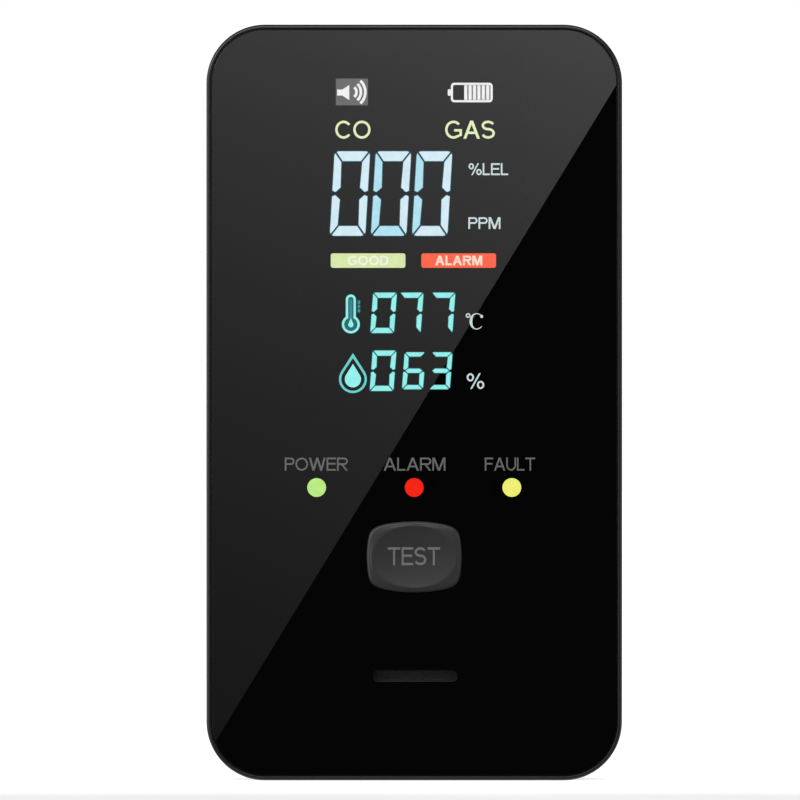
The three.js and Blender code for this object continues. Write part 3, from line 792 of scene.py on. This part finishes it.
def flat_shape(name, loops, front, back, material):
    """A thin flat piece from closed (x, z) loops; loops inside others become holes."""
    curve = bpy.data.curves.new(name, "CURVE")
    curve.dimensions = "2D"
    curve.fill_mode = "BOTH"
    curve.extrude = (back - front) / 2 * MM
    for loop in loops:
        spline = curve.splines.new("POLY")
        spline.points.add(len(loop) - 1)
        for point, (x, z) in zip(spline.points, loop):
            point.co = (x * MM, z * MM, 0.0, 1.0)
        spline.use_cyclic_u = True
    holder = new_object(name + "_curve", curve)
    mesh = evaluated_mesh(holder)
    bpy.data.objects.remove(holder)
    bpy.data.curves.remove(curve)
    mesh.name = name
    for vertex in mesh.vertices:
        x, z, depth = vertex.co
        vertex.co = (x, (front + back) / 2 * MM - depth, z)
    work = bmesh.new()
    work.from_mesh(mesh)
    bmesh.ops.remove_doubles(work, verts=work.verts, dist=0.0005 * MM)
    bmesh.ops.recalc_face_normals(work, faces=work.faces)
    work.to_mesh(mesh)
    work.free()
    mesh.materials.clear()
    return new_object(name, mesh, material)


# Widths of the capitals at height 1, for a plain sans-serif hand.
LETTER_WIDTHS = {
    "A": 0.93, "C": 0.94, "D": 0.84, "E": 0.74, "F": 0.68, "G": 0.94, "L": 0.62, "M": 0.98,
    "O": 0.98, "P": 0.76, "R": 0.84, "S": 0.76, "T": 0.8, "U": 0.8, "W": 1.3, "%": 1.1,
}
LETTER_GAP = 0.08
WAIST = 0.53


def band(points, stroke):
    """The outline of a stroke along an open line, with square ends."""
    near, far = [], []
    for i, point in enumerate(points):
        before, after = points[max(i - 1, 0)], points[min(i + 1, len(points) - 1)]
        along = (Vector(after) - Vector(before)).normalized() * stroke / 2
        near.append((point[0] - along.y, point[1] + along.x))
        far.append((point[0] + along.y, point[1] - along.x))
    return near + far[::-1]


def straight_letter(sign, w, s):
    """The loops of E, F, L or T of width w and stroke s."""
    m, up, low = w / 2, WAIST + s / 2, WAIST - s / 2
    if sign == "L":
        return [[(0, 0), (w, 0), (w, s), (s, s), (s, 1), (0, 1)]]
    if sign == "T":
        left, right = m - s / 2, m + s / 2
        return [[
            (left, 0), (right, 0), (right, 1 - s), (w, 1 - s), (w, 1), (0, 1), (0, 1 - s),
            (left, 1 - s),
        ]]
    foot = [(0, 0), (w, 0), (w, s), (s, s)] if sign == "E" else [(0, 0), (s, 0)]
    arm = 0.93 * w
    return [[
        *foot, (s, low), (arm, low), (arm, up), (s, up), (s, 1 - s), (w, 1 - s), (w, 1), (0, 1),
    ]]


def slanted_letter(sign, w, s):
    """The loops of A, M or W of width w and stroke s."""
    m, k = w / 2, 1.2 * s
    if sign == "A":
        lean, bar = m - k / 2, 0.26
        lower, upper = k + lean * bar, k + lean * (bar + s)
        return [
            [
                (0, 0), (k, 0), (lower, bar), (w - lower, bar), (w - k, 0), (w, 0),
                (m + k / 2, 1), (m - k / 2, 1),
            ],
            [(upper, bar + s), (w - upper, bar + s), (m, (m - k) / lean)],
        ]
    if sign == "M":
        run = m - k / 2 - s / 4
        shoulder, valley = 1 - 0.75 * s / run, 1 - (m - k - s / 4) / run
        return [[
            (0, 0), (s, 0), (s, shoulder), (m - k / 2, 0), (m + k / 2, 0), (w - s, shoulder),
            (w - s, 0), (w, 0), (w, 1), (w - k - s / 4, 1), (m, valley), (k + s / 4, 1), (0, 1),
        ]]
    q = 0.27 * w
    crotch, peak = (k / 2) / (q - k / 2), 1 - (k / 2) / (m - q)
    return [[
        (0, 1), (q - k / 2, 0), (q + k / 2, 0), (m, peak), (w - q - k / 2, 0),
        (w - q + k / 2, 0), (w, 1), (w - k, 1), (w - q, crotch), (m + k / 2, 1),
        (m - k / 2, 1), (q, crotch), (k, 1),
    ]]


def round_letter(sign, w, s):
    """The loops of C, D, G, O, P, R, S, U or % of width w and stroke s."""
    m, center = w / 2, (w / 2, 0.5)
    whole, hollow = (m, 0.5), (m - s, 0.5 - s)
    if sign == "O":
        return [oval(center, whole, steps=40), oval(center, hollow, steps=40)]
    if sign == "C":
        outer, inner = oval(center, whole, 36, 324, 30), oval(center, hollow, 40, 320, 30)
        return [outer + inner[::-1]]
    if sign == "G":
        outer, inner = oval(center, whole, 40, 302, 30), oval(center, hollow, 44, 300, 30)
        beard = [(w, 0.17), (w, WAIST), (0.54 * w, WAIST), (0.54 * w, WAIST - s)]
        return [outer + beard + [(w - s, WAIST - s), (w - s, 0.24)] + inner[::-1]]
    if sign == "U":
        low = (m, 0.42)
        outer, inner = oval(low, (m, 0.42), 180, 360), oval(low, (m - s, 0.42 - s), 180, 360)
        return [[(0, 1), *outer, (w, 1), (w - s, 1), *inner[::-1], (s, 1)]]
    if sign == "S":
        low_radius, top_radius = (WAIST - s / 2) / 2, (1 - WAIST - s / 2) / 2
        top = oval((m, 1 - s / 2 - top_radius), (m - s * 0.62, top_radius), 22, 262, 18)
        low = oval((m, s / 2 + low_radius), (m - s / 2, low_radius), 82, -160, 18)
        return [band(top + low, s)]
    if sign == "%":
        thin = 0.9 * s
        rings = [
            oval(spot, (0.23 - inset, 0.26 - inset), steps=20)
            for spot in ((0.23, 0.74), (w - 0.23, 0.26)) for inset in (0, thin)
        ]
        return [*rings, [(0.2 * w, 0), (0.2 * w + thin, 0), (0.8 * w, 1), (0.8 * w - thin, 1)]]
    base = 0.0 if sign == "D" else 0.44
    r, reach = (1 - base) / 2, 0.5 * w if sign == "D" else (1 - base) / 2
    hub = (w - reach, 1 - r)
    bowl, inner = oval(hub, (reach, r), -90, 90), oval(hub, (reach - s, r - s), -90, 90)
    hole = [(s, base + s), *inner, (s, 1 - s)]
    foot = {
        "D": [(0, 0)],
        "P": [(0, 0), (s, 0), (s, base)],
        "R": [
            (0, 0), (s, 0), (s, base), (0.4 * w, base), (w - 1.25 * s, 0), (w, 0),
            (0.4 * w + 1.25 * s, base),
        ],
    }[sign]
    return [[*foot, *bowl, (0, 1)], hole]


LETTER_MAKERS = {"EFLT": straight_letter, "AMW": slanted_letter, "CDGOPRSU%": round_letter}


def lettering(name, words, center, size, front, back, material, stroke):
    """Plain capitals fitted to a (width, height) about a centre; stroke is a share of height."""
    total = sum(LETTER_WIDTHS[sign] for sign in words) + LETTER_GAP * (len(words) - 1)
    left, low = center[0] - size[0] / 2, center[1] - size[1] / 2
    across, loops, pen = size[0] / total, [], 0.0
    for sign in words:
        maker = next(maker for family, maker in LETTER_MAKERS.items() if sign in family)
        for loop in maker(sign, LETTER_WIDTHS[sign], stroke):
            loops.append([(left + (pen + x) * across, low + z * size[1]) for x, z in loop])
        pen += LETTER_WIDTHS[sign] + LETTER_GAP
    return flat_shape(name, loops, front, back, material)


INK = 0.02
LIT = (GLASS_LOW.y - 0.04, GLASS_LOW.y - 0.01)
MARK = (LIT[0] - INK, LIT[0])
HALO = (GLASS_LOW.y - 0.008, GLASS_LOW.y)
HALO_WIDTH = 0.1


def grown(loop, amount):
    """A loop moved outwards by an amount; it has no deep notches."""
    count = len(loop)
    area = sum(
        loop[i - 1][0] * loop[i][1] - loop[i][0] * loop[i - 1][1] for i in range(count)
    )
    turn = 1 if area > 0 else -1
    out = []
    for i in range(count):
        before, here, after = Vector(loop[i - 1]), Vector(loop[i]), Vector(loop[(i + 1) % count])
        first, second = (here - before).normalized(), (after - here).normalized()
        normal = Vector((first.y + second.y, -first.x - second.x)).normalized() * turn
        cosine = max(0.5, normal.dot(Vector((first.y, -first.x)) * turn))
        out.append(tuple(here + normal * amount / cosine))
    return out


SHOWN = {"0": "abcdef", "3": "abcdg", "6": "acdefg", "7": "abc"}
BIG_DIGIT = {"width": 5.6, "height": 13.4, "bar": 1.62, "post": 1.24, "gap": 0.3, "corner": 0.75}
TALL_DIGIT = {"width": 3.74, "height": 6.4, "bar": 0.86, "post": 0.77, "gap": 0.18, "corner": 0.42}
SHORT_DIGIT = {"width": 3.3, "height": 5.85, "bar": 0.72, "post": 0.7, "gap": 0.18, "corner": 0.36}
BIG_SLANT, SMALL_SLANT = 0.058, 0.075


def segments(width, height, bar, post, gap, corner):
    """The seven segments of a display digit, as loops from its lower left corner.

    The top bar and the upper left post are drawn; all but the middle bar mirror them.
    """
    middle, low, near, inset = height / 2, bar * 0.46, post * 0.5, post * 1.05
    along = Vector((post, -bar)).normalized()
    aside = Vector((-along.y, along.x)) * gap / 2
    hub, diagonal = (corner, height - corner), math.radians(135)
    start = Vector((hub[0] + corner * math.cos(diagonal), hub[1] + corner * math.sin(diagonal)))
    inner = Vector((post, height - bar))

    def across(loop):
        return [(width - x, z) for x, z in reversed(loop)]

    def down(loop):
        return [(x, height - z) for x, z in reversed(loop)]

    left, foot = [tuple(start + aside), *arc(hub, corner, 122, 90, 5)], [tuple(inner + aside)]
    top = left + across(left) + across(foot) + foot
    upright = [
        *arc(hub, corner, 180, 148, 5), tuple(start - aside), tuple(inner - aside),
        (post, middle + post * 0.78), (post * 0.42, middle + gap), (post * 0.3, middle + gap),
        (0.0, middle + post * 0.38),
    ][::-1]
    middle_bar = [
        (near, middle), (inset, middle + low), (width - inset, middle + low),
        (width - near, middle), (width - inset, middle - low), (inset, middle - low),
    ]
    return {
        "a": top, "f": upright, "b": across(upright), "d": down(top), "e": down(upright),
        "c": down(across(upright)), "g": middle_bar,
    }


def digit_loops(style, slant, figure, x, z):
    """The segments that a slanted figure shows, by their letters."""
    parts = segments(**style)
    return {key: [(x + u + v * slant, z + v) for u, v in parts[key]] for key in SHOWN[figure]}


LIT_MATERIALS = {
    key: lit(name, *channels) for key, name, channels in (
        ("aqua", "aqua_segments", (150, 244, 240)),
        ("pale", "pale_blue_segments", (214, 238, 248)),
        ("sky", "sky_blue_segments", (178, 228, 243)),
        ("lime", "lime_words", (229, 242, 188)),
        ("white", "white_marks", (243, 244, 244)),
        ("unit", "unit_marks", (206, 222, 223)),
        ("good", "good_bar", (218, 234, 170)),
        ("good_word", "good_word", (243, 247, 228)),
        ("alarm", "alarm_bar", (255, 99, 66)),
        ("alarm_word", "alarm_word", (255, 222, 206)),
        ("grey", "grey_tile", (102, 102, 102)),
        ("silver", "silver_fill", (128, 128, 128)),
        ("blue_gap", "blue_gap", (46, 104, 122)),
        ("teal_gap", "teal_gap", (24, 104, 106)),
        ("drop_line", "drop_line", (104, 212, 208)),
        ("teal", "teal_fill", (48, 138, 146)),
    )
}


def lit_shape(name, loops, tone, layer=LIT):
    return flat_shape(name, loops, *layer, LIT_MATERIALS[tone])


def lit_digit(name, loops, tone, halo_tone):
    """A lit digit, and the darker glow in its gaps and round its edge."""
    halo = [
        flat_shape(f"{name}_{i}", [grown(loop, HALO_WIDTH)], *HALO, None)
        for i, loop in enumerate(loops)
    ]
    halo = joined(f"{name}_glow", halo, LIT_MATERIALS[halo_tone])
    return [lit_shape(name, loops, tone), halo]


def drop(center, radius, tip):
    """A drop: a circle whose upper side runs straight up to a point."""
    touch = math.degrees(math.asin(radius / (tip - center[1])))
    return [(center[0], tip), *arc(center, radius, 180 - touch, 360 + touch, 28)]


def big_reading():
    """The main three-digit reading; a few segments are a little bluer than the rest."""
    bluer = ("", "def", "ef")
    made = []
    for i, blue in enumerate(bluer):
        loops = digit_loops(BIG_DIGIT, BIG_SLANT, "0", -13.4 + 6.53 * i, 86.5)
        for tone in ("pale", "sky"):
            chosen = [loop for key, loop in loops.items() if (key in blue) == (tone == "sky")]
            if chosen:
                made += lit_digit(f"main_digit_{i}_{tone}", chosen, tone, "blue_gap")
    return made


def small_readings():
    """Temperature above, humidity below."""
    made = []
    for i, (style, figure, x, z) in enumerate((
        (TALL_DIGIT, "0", -6.98, 71.05), (TALL_DIGIT, "7", -2.75, 71.05),
        (TALL_DIGIT, "7", 2.3, 71.05), (TALL_DIGIT, "0", -7.06, 61.85),
        (SHORT_DIGIT, "6", -1.93, 62.12), (SHORT_DIGIT, "3", 2.33, 62.12),
    )):
        loops = digit_loops(style, SMALL_SLANT, figure, x, z)
        made += lit_digit(f"small_digit_{i}", list(loops.values()), "aqua", "teal_gap")
    return made


def display_words():
    """Headings and units on the display."""
    return [
        lettering(name, words, center, size, *LIT, LIT_MATERIALS[tone], stroke)
        for name, words, center, size, tone, stroke in (
            ("heading_co", "CO", (-9.74, 103.35), (5.6, 2.87), "lime", 0.135),
            ("heading_gas", "GAS", (8.86, 103.35), (7.9, 2.87), "lime", 0.135),
            ("unit_lel", "%LEL", (11.78, 97.07), (6.3, 1.9), "unit", 0.14),
            ("unit_ppm", "PPM", (11.15, 88.5), (5.1, 1.87), "unit", 0.14),
            ("unit_percent", "%", (9.73, 63.4), (2.8, 2.5), "unit", 0.125),
        )
    ]


def status_bars():
    """The green and red bars under the main reading, each with its word."""
    made = []
    for name, x, width, word_width in (("good", -7.33, 11.86, 6.5), ("alarm", 7.06, 11.87, 7.5)):
        made.append(lit_shape(
            f"{name}_bar", [rounded_loop(width, 2.3, 0.36, (x, 82.55), 6)], name,
        ))
        made.append(lettering(
            f"{name}_bar_word", name.upper(), (x, 82.57), (word_width, 1.53), *MARK,
            LIT_MATERIALS[f"{name}_word"], 0.2,
        ))
    return made


def sound_icon():
    """A loudspeaker with three arcs on a grey tile."""
    cx, cz = -9.9, 109.34
    horn = [
        (cx - 2.34, cz - 0.56), (cx - 1.52, cz - 0.56), (cx - 0.42, cz - 1.3),
        (cx - 0.42, cz + 1.1), (cx - 1.52, cz + 0.38), (cx - 2.34, cz + 0.38),
    ]
    hub = (cx - 0.33, cz - 0.02)
    waves = [band(arc(hub, radius, -47, 47), 0.42) for radius in (1.05, 1.76, 2.46)]
    return [
        lit_shape("sound_tile", [rounded_loop(5.1, 4.25, 0.1, (cx, cz), 2)], "grey"),
        lit_shape("sound_mark", [horn, *waves], "white", MARK),
    ]


def battery_icon():
    """A battery outline, two thirds full."""
    cx, cz = 9.14, 109.25
    width, height, stroke, fill_width = 6.65, 3.1, 0.34, 4.2
    inner_height = height - 2 * stroke
    outside = rounded_loop(width, height, 0.56, (cx, cz), 6)
    inside = rounded_loop(width - 2 * stroke, inner_height, 0.28, (cx, cz), 6)
    nub = rounded_loop(0.5, 1.05, 0.2, (cx - width / 2 - 0.24, cz), 4)
    right = cx + width / 2 - stroke
    fill = rounded_loop(fill_width, inner_height, 0.05, (right - fill_width / 2, cz), 2)
    pitch = fill_width / 6
    stripes = [
        rounded_loop(0.46, 2.3, 0.05, (right - fill_width + pitch * (i + 0.36), cz), 2)
        for i in range(6)
    ]
    return [
        lit_shape("battery_outline", [outside, inside], "white"),
        lit_shape("battery_nub", [nub], "white"),
        lit_shape("battery_fill", [fill], "silver"),
        lit_shape("battery_stripes", stripes, "white", MARK),
    ]


def thermometer_icon():
    """A thermometer: an outlined tube and bulb, a drop in the bulb and three ticks."""
    cx, bulb_z, top = -10.07, 72.42, 77.15
    bulb, tube, stroke = 1.42, 0.79, 0.36

    def outline(inset):
        bulb_radius, tube_radius = bulb - inset, tube - inset
        meet = math.degrees(math.asin(tube_radius / bulb_radius))
        cap = (cx, top - inset - tube_radius)
        return [
            *arc((cx, bulb_z), bulb_radius, 90 + meet, 450 - meet, 28),
            *arc(cap, tube_radius, 0, 180, 12),
        ]

    outside, inside = outline(0), outline(stroke)
    core = rounded_loop(0.42, 3.5, 0.2, (cx, 74.65), 4)
    bead = drop((cx, bulb_z - 0.05), 0.42, bulb_z + 0.95)
    ticks = [rounded_loop(0.42, 0.58, 0.12, (cx + 1.27, z), 3) for z in (75.95, 75.27, 74.59)]
    return [
        lit_shape("thermometer_field", [grown(outside, 0.07)], "teal_gap", HALO),
        lit_shape("thermometer_outline", [outside, inside], "aqua"),
        lit_shape("thermometer_core", [core], "teal"),
        lit_shape("thermometer_bead", [bead], "aqua", MARK),
        lit_shape("thermometer_ticks", ticks, "teal"),
    ]


def drop_icon():
    """A filled drop in an outlined one."""
    cx, cz = -9.74, 63.72
    outline = [drop((cx, cz), 2.22, 67.85), drop((cx, cz), 1.85, 67.05)]
    return [
        lit_shape("drop_outline", outline, "drop_line"),
        lit_shape("drop_heart", [drop((cx, cz - 0.02), 1.29, 66.15)], "aqua"),
    ]


def degree_icon():
    """A small ring and a capital C with thick and thin strokes."""
    (cx, cz), radius = (9.9, 72.9), (1.12, 1.3)
    inner = []
    for i in range(25):
        angle = math.radians(318 - 276 * i / 24)
        thin = 0.13 + 0.3 * max(0.0, -math.cos(angle)) ** 0.8
        inner.append((
            cx + 0.02 + (radius[0] - thin) * math.cos(angle),
            cz + (radius[1] - 0.15) * math.sin(angle),
        ))
    rings = [arc((8.55, 73.82), r, 0.0, 360.0, 20) for r in (0.38, 0.17)]
    return [
        lit_shape("degree_ring", rings, "unit"),
        lit_shape("degree_letter", [oval((cx, cz), radius, 42, 318, 24) + inner], "unit"),
        lit_shape("degree_serif", [oval((10.72, 73.68), (0.22, 0.26), steps=16)], "unit"),
    ]


def printed_words():
    """Grey words printed on the lens over the three lights, and in the button's dish."""
    ink = Shader("grey_ink", grey(0.083), 0.6, specular=0.2, coat=1.0)
    ink.set("Coat Roughness", 0.0)
    ink.tint(ink.noise(0.3), grey(0.079), grey(0.087))
    front = LENS_LOW.y - INK
    for node, word, width, shift in (
        ("power", "POWER", 10.0, -0.05), ("alarm", "ALARM", 9.8, 0.05),
        ("fault", "FAULT", 8.0, -0.3),
    ):
        x = center_mm(f"{node}_light_pipe")[0] + shift
        place(lettering(
            f"{node}_word", word, (x, 50.22), (width, 2.07), front, LENS_LOW.y, ink.material, 0.125,
        ))
    faint = Shader("faint_ink", grey(0.09), 0.6, specular=0.2)
    faint.tint(faint.noise(0.3), grey(0.085), grey(0.095))
    word = lettering(
        "test_word", "TEST", (-0.05, BUTTON_Z + 0.1), (8.3, 2.87), BUTTON_LOW.y - INK,
        BUTTON_LOW.y + INK, faint.material, 0.135,
    )
    for vertex in word.data.vertices:
        vertex.co.y += dish_depth(vertex.co.x / MM, vertex.co.z / MM - BUTTON_Z) * MM
    place(word, "test_button_body")


def status_lights():
    """The lit faces of the three light pipes, in the mask's holes."""
    for name, slot_name in zip(LIGHTS, ("green_light", "red_light", "yellow_light")):
        loop = arc(center_mm(f"{name}_light_pipe"), LIGHT_DIAMETER / 2, 0, 360, 48)
        place(flat_shape(
            f"{name}_light_face", [loop], MASK_LOW.y + 0.02, MASK_HIGH.y - 0.01,
            MATERIALS[slot_name],
        ))


def lit_display():
    for part in (
        big_reading, small_readings, display_words, status_bars, sound_icon, battery_icon,
        thermometer_icon, drop_icon, degree_icon,
    ):
        for piece in part():
            place(piece)


# ---- CAD nodes that stay


def finish_cad_nodes():
    """Gives every CAD node its material."""
    slots = {row["node"]: row["material_slot"] for row in frame["record"]["subparts"]}
    for name, node in frame["nodes"].items():
        slot_name = "clear_plastic" if name.endswith("light_pipe") else slots[name]
        if slot_name in MATERIALS:
            node.material_slots[0].material = MATERIALS[slot_name]


# ---- stage, lights and camera

CAMERA_X = -2.26
CAMERA_Z = 60.4
FRAME_WIDTH = 127.0
LENS_MM = 800.0
SENSOR_MM = 36.0
CAMERA_DISTANCE = FRAME_WIDTH * LENS_MM / SENSOR_MM

FLOOR_GLOW = 0.75
FALL_OFF_REACH = 2.0
# painted shade on the floor: how much of its glow is left at each distance in front, in metres
FALL_OFF = [(0.04, 1.0), (0.13, 0.28), (0.3, 0.28), (1.6, 1.0)]
GLINT = 0.2
GLINT_REACH = 25.0
NEAR_FLOOR_HALF = 0.3
CARD_DISTANCE = 1000.0
CARD_REACH = 1 + CARD_DISTANCE / CAMERA_DISTANCE
CARD_LEFT = -160.0
CARD_OVERHANG = 0.6
PANE_EDGE = ((32.0, 110.3), (-32.1, 5.3))
SHEEN = {"floor": 0.196, "along_x": 0.00636, "along_z": 0.01528}
SOFTBOXES = [
    ("key_box", (-0.85, -0.7, 0.6), (0.45, 0.45), 4.5),
    ("top_box", (-0.05, -0.38, 0.5), (0.7, 0.45), 2.1),
    ("left_box", (-0.8, -0.25, 0.12), (1.1, 0.7), 1.5),
    ("right_box", (0.95, -0.45, 0.2), (0.6, 0.8), 0.9),
    ("rear_box", (0.55, 1.2, 0.6), (0.8, 0.8), 1.2),
    ("rear_left_box", (-0.9, 0.9, 0.3), (0.3, 0.9), 1.4),
]


def camera():
    data = bpy.data.cameras.new("camera")
    data.lens = LENS_MM
    data.sensor_width = SENSOR_MM
    data.clip_end = 20.0
    piece = new_object("camera", data)
    piece.location = (CAMERA_X * MM, (RIM - CAMERA_DISTANCE) * MM, CAMERA_Z * MM)
    piece.rotation_euler = (math.radians(90), 0, 0)
    bpy.context.scene.camera = piece


def softbox(name, location, size, radiance):
    """An area light of even radiance, aimed at the middle of the object."""
    data = bpy.data.lights.new(name, "AREA")
    data.shape = "RECTANGLE"
    data.size, data.size_y = size
    data.energy = radiance * math.pi * size[0] * size[1]
    piece = new_object(name, data)
    piece.location = location
    aim = Vector((0, 0, MIDDLE * MM)) - Vector(location)
    piece.rotation_euler = aim.to_track_quat("-Z", "Y").to_euler()
    piece.visible_camera = False


def world():
    data = bpy.data.worlds.new("studio")
    data.use_nodes = True
    background = data.node_tree.nodes["Background"]
    background.inputs["Color"].default_value = (*WHITE, 1.0)
    background.inputs["Strength"].default_value = 1.05
    data.cycles_visibility.glossy = False
    bpy.context.scene.world = data


def quad(name, corners, material):
    """A four-sided piece of the stage, from its corners in metres."""
    mesh = bpy.data.meshes.new(name)
    mesh.from_pydata(corners, [], [(0, 1, 2, 3)])
    piece = new_object(name, mesh, material)
    return piece


def plane(name, low, high, z, material):
    (x0, y0), (x1, y1) = low, high
    return quad(name, [(x0, y0, z), (x1, y0, z), (x1, y1, z), (x0, y1, z)], material)


def only_in_gloss(piece):
    """Hides the piece from everything but reflections."""
    for kind in ("camera", "diffuse", "shadow", "transmission"):
        setattr(piece, f"visible_{kind}", False)


def pale(name):
    """A pale floor surface, lit from within a little so that shadows stay faint."""
    shader = Shader(name, grey(0.4), 0.7, specular=0.0)
    shader.tint(shader.noise(60.0), grey(0.39), grey(0.41))
    return shader.glow(WHITE, FLOOR_GLOW)


def floor():
    """A pale floor with painted shade: its glow is lower in front, standing in for light falling
    off; reflections only show the part by the object.
    """
    low, high = (-NEAR_FLOOR_HALF, RIM * MM), (NEAR_FLOOR_HALF, 0.4)
    plane("near_floor", low, high, 0.0, pale("pale_floor").material)
    shader = pale("floor_painted_shade")
    axes = shader.add("SeparateXYZ", {"Vector": shader.coordinates})
    values = {"From Min": 0.0, "From Max": -FALL_OFF_REACH}
    distance = shader.add("MapRange", {"Value": axes["Y"]}, values)["Result"]
    stops = [(reach / FALL_OFF_REACH, grey(glow)) for reach, glow in FALL_OFF]
    shader.feed("Emission Color", shader.ramp(distance, stops, "EASE"))
    wide = plane("wide_floor", (-9, -9), (9, 9), -0.00005, shader.material)
    wide.visible_glossy = False


def floor_glint():
    """What the gloss shows of the floor in front: a glow that soon fades out."""
    near, far = RIM * MM, (RIM - GLINT_REACH) * MM
    tree = Tree("floor_glint")
    axes = tree.add("SeparateXYZ", {"Vector": tree.add("TexCoord")["Object"]})
    values = {"From Min": far, "From Max": near, "To Max": GLINT}
    fade = tree.add("MapRange", {"Value": axes["Y"]}, values)
    glow = tree.surface(tree.add("Emission", {"Strength": fade["Result"]})["Emission"])
    low, high = (-NEAR_FLOOR_HALF, far), (NEAR_FLOOR_HALF, near)
    only_in_gloss(plane("floor_glint", low, high, 0.00001, glow))


def reflected(x, z):
    """Where the camera sees the card in the lens at (x, z): the card's own point in metres."""
    x, z = CAMERA_X + (x - CAMERA_X) * CARD_REACH, CAMERA_Z + (z - CAMERA_Z) * CARD_REACH
    return x * MM, (LENS_LOW.y - CARD_DISTANCE) * MM, z * MM


def window_card():
    """A bright card in front of the object, whose slanted edge crosses the glossy lens."""
    (x0, z0), (x1, z1) = PANE_EDGE
    run, rise = (x0 - x1) * CARD_OVERHANG, (z0 - z1) * CARD_OVERHANG
    top, bottom = (x0 + run, z0 + rise), (x1 - run, z1 - rise)
    corners = [top, (CARD_LEFT, top[1]), (CARD_LEFT, bottom[1]), bottom]
    along_x, along_z = SHEEN["along_x"], SHEEN["along_z"]
    slopes = (along_x / CARD_REACH / MM, 0.0, along_z / CARD_REACH / MM)
    shift = 1 - 1 / CARD_REACH
    level = SHEEN["floor"] * math.exp(along_x * CAMERA_X * shift + along_z * CAMERA_Z * shift)
    tree = Tree("card_glow")
    coordinates = tree.add("TexCoord")["Object"]
    slope = tree.add("VectorMath", {0: coordinates}, {1: slopes}, operation="DOT_PRODUCT")
    power = tree.add("Math", {0: slope["Value"]}, operation="EXPONENT")
    gain = tree.add("Math", {0: power["Value"]}, {1: level}, operation="MULTIPLY")
    glow = tree.surface(tree.add("Emission", {"Strength": gain["Value"]})["Emission"])
    only_in_gloss(quad("window_card", [reflected(*corner) for corner in corners], glow))


def studio():
    bpy.context.scene.view_settings.view_transform = "Standard"
    world()
    floor()
    floor_glint()
    window_card()
    for box in SOFTBOXES:
        softbox(*box)


# ---- the scene

camera()
finish_cad_nodes()
front_shell()
back_shell()
front_lens()
test_button()
printed_words()
status_lights()
lit_display()
studio()
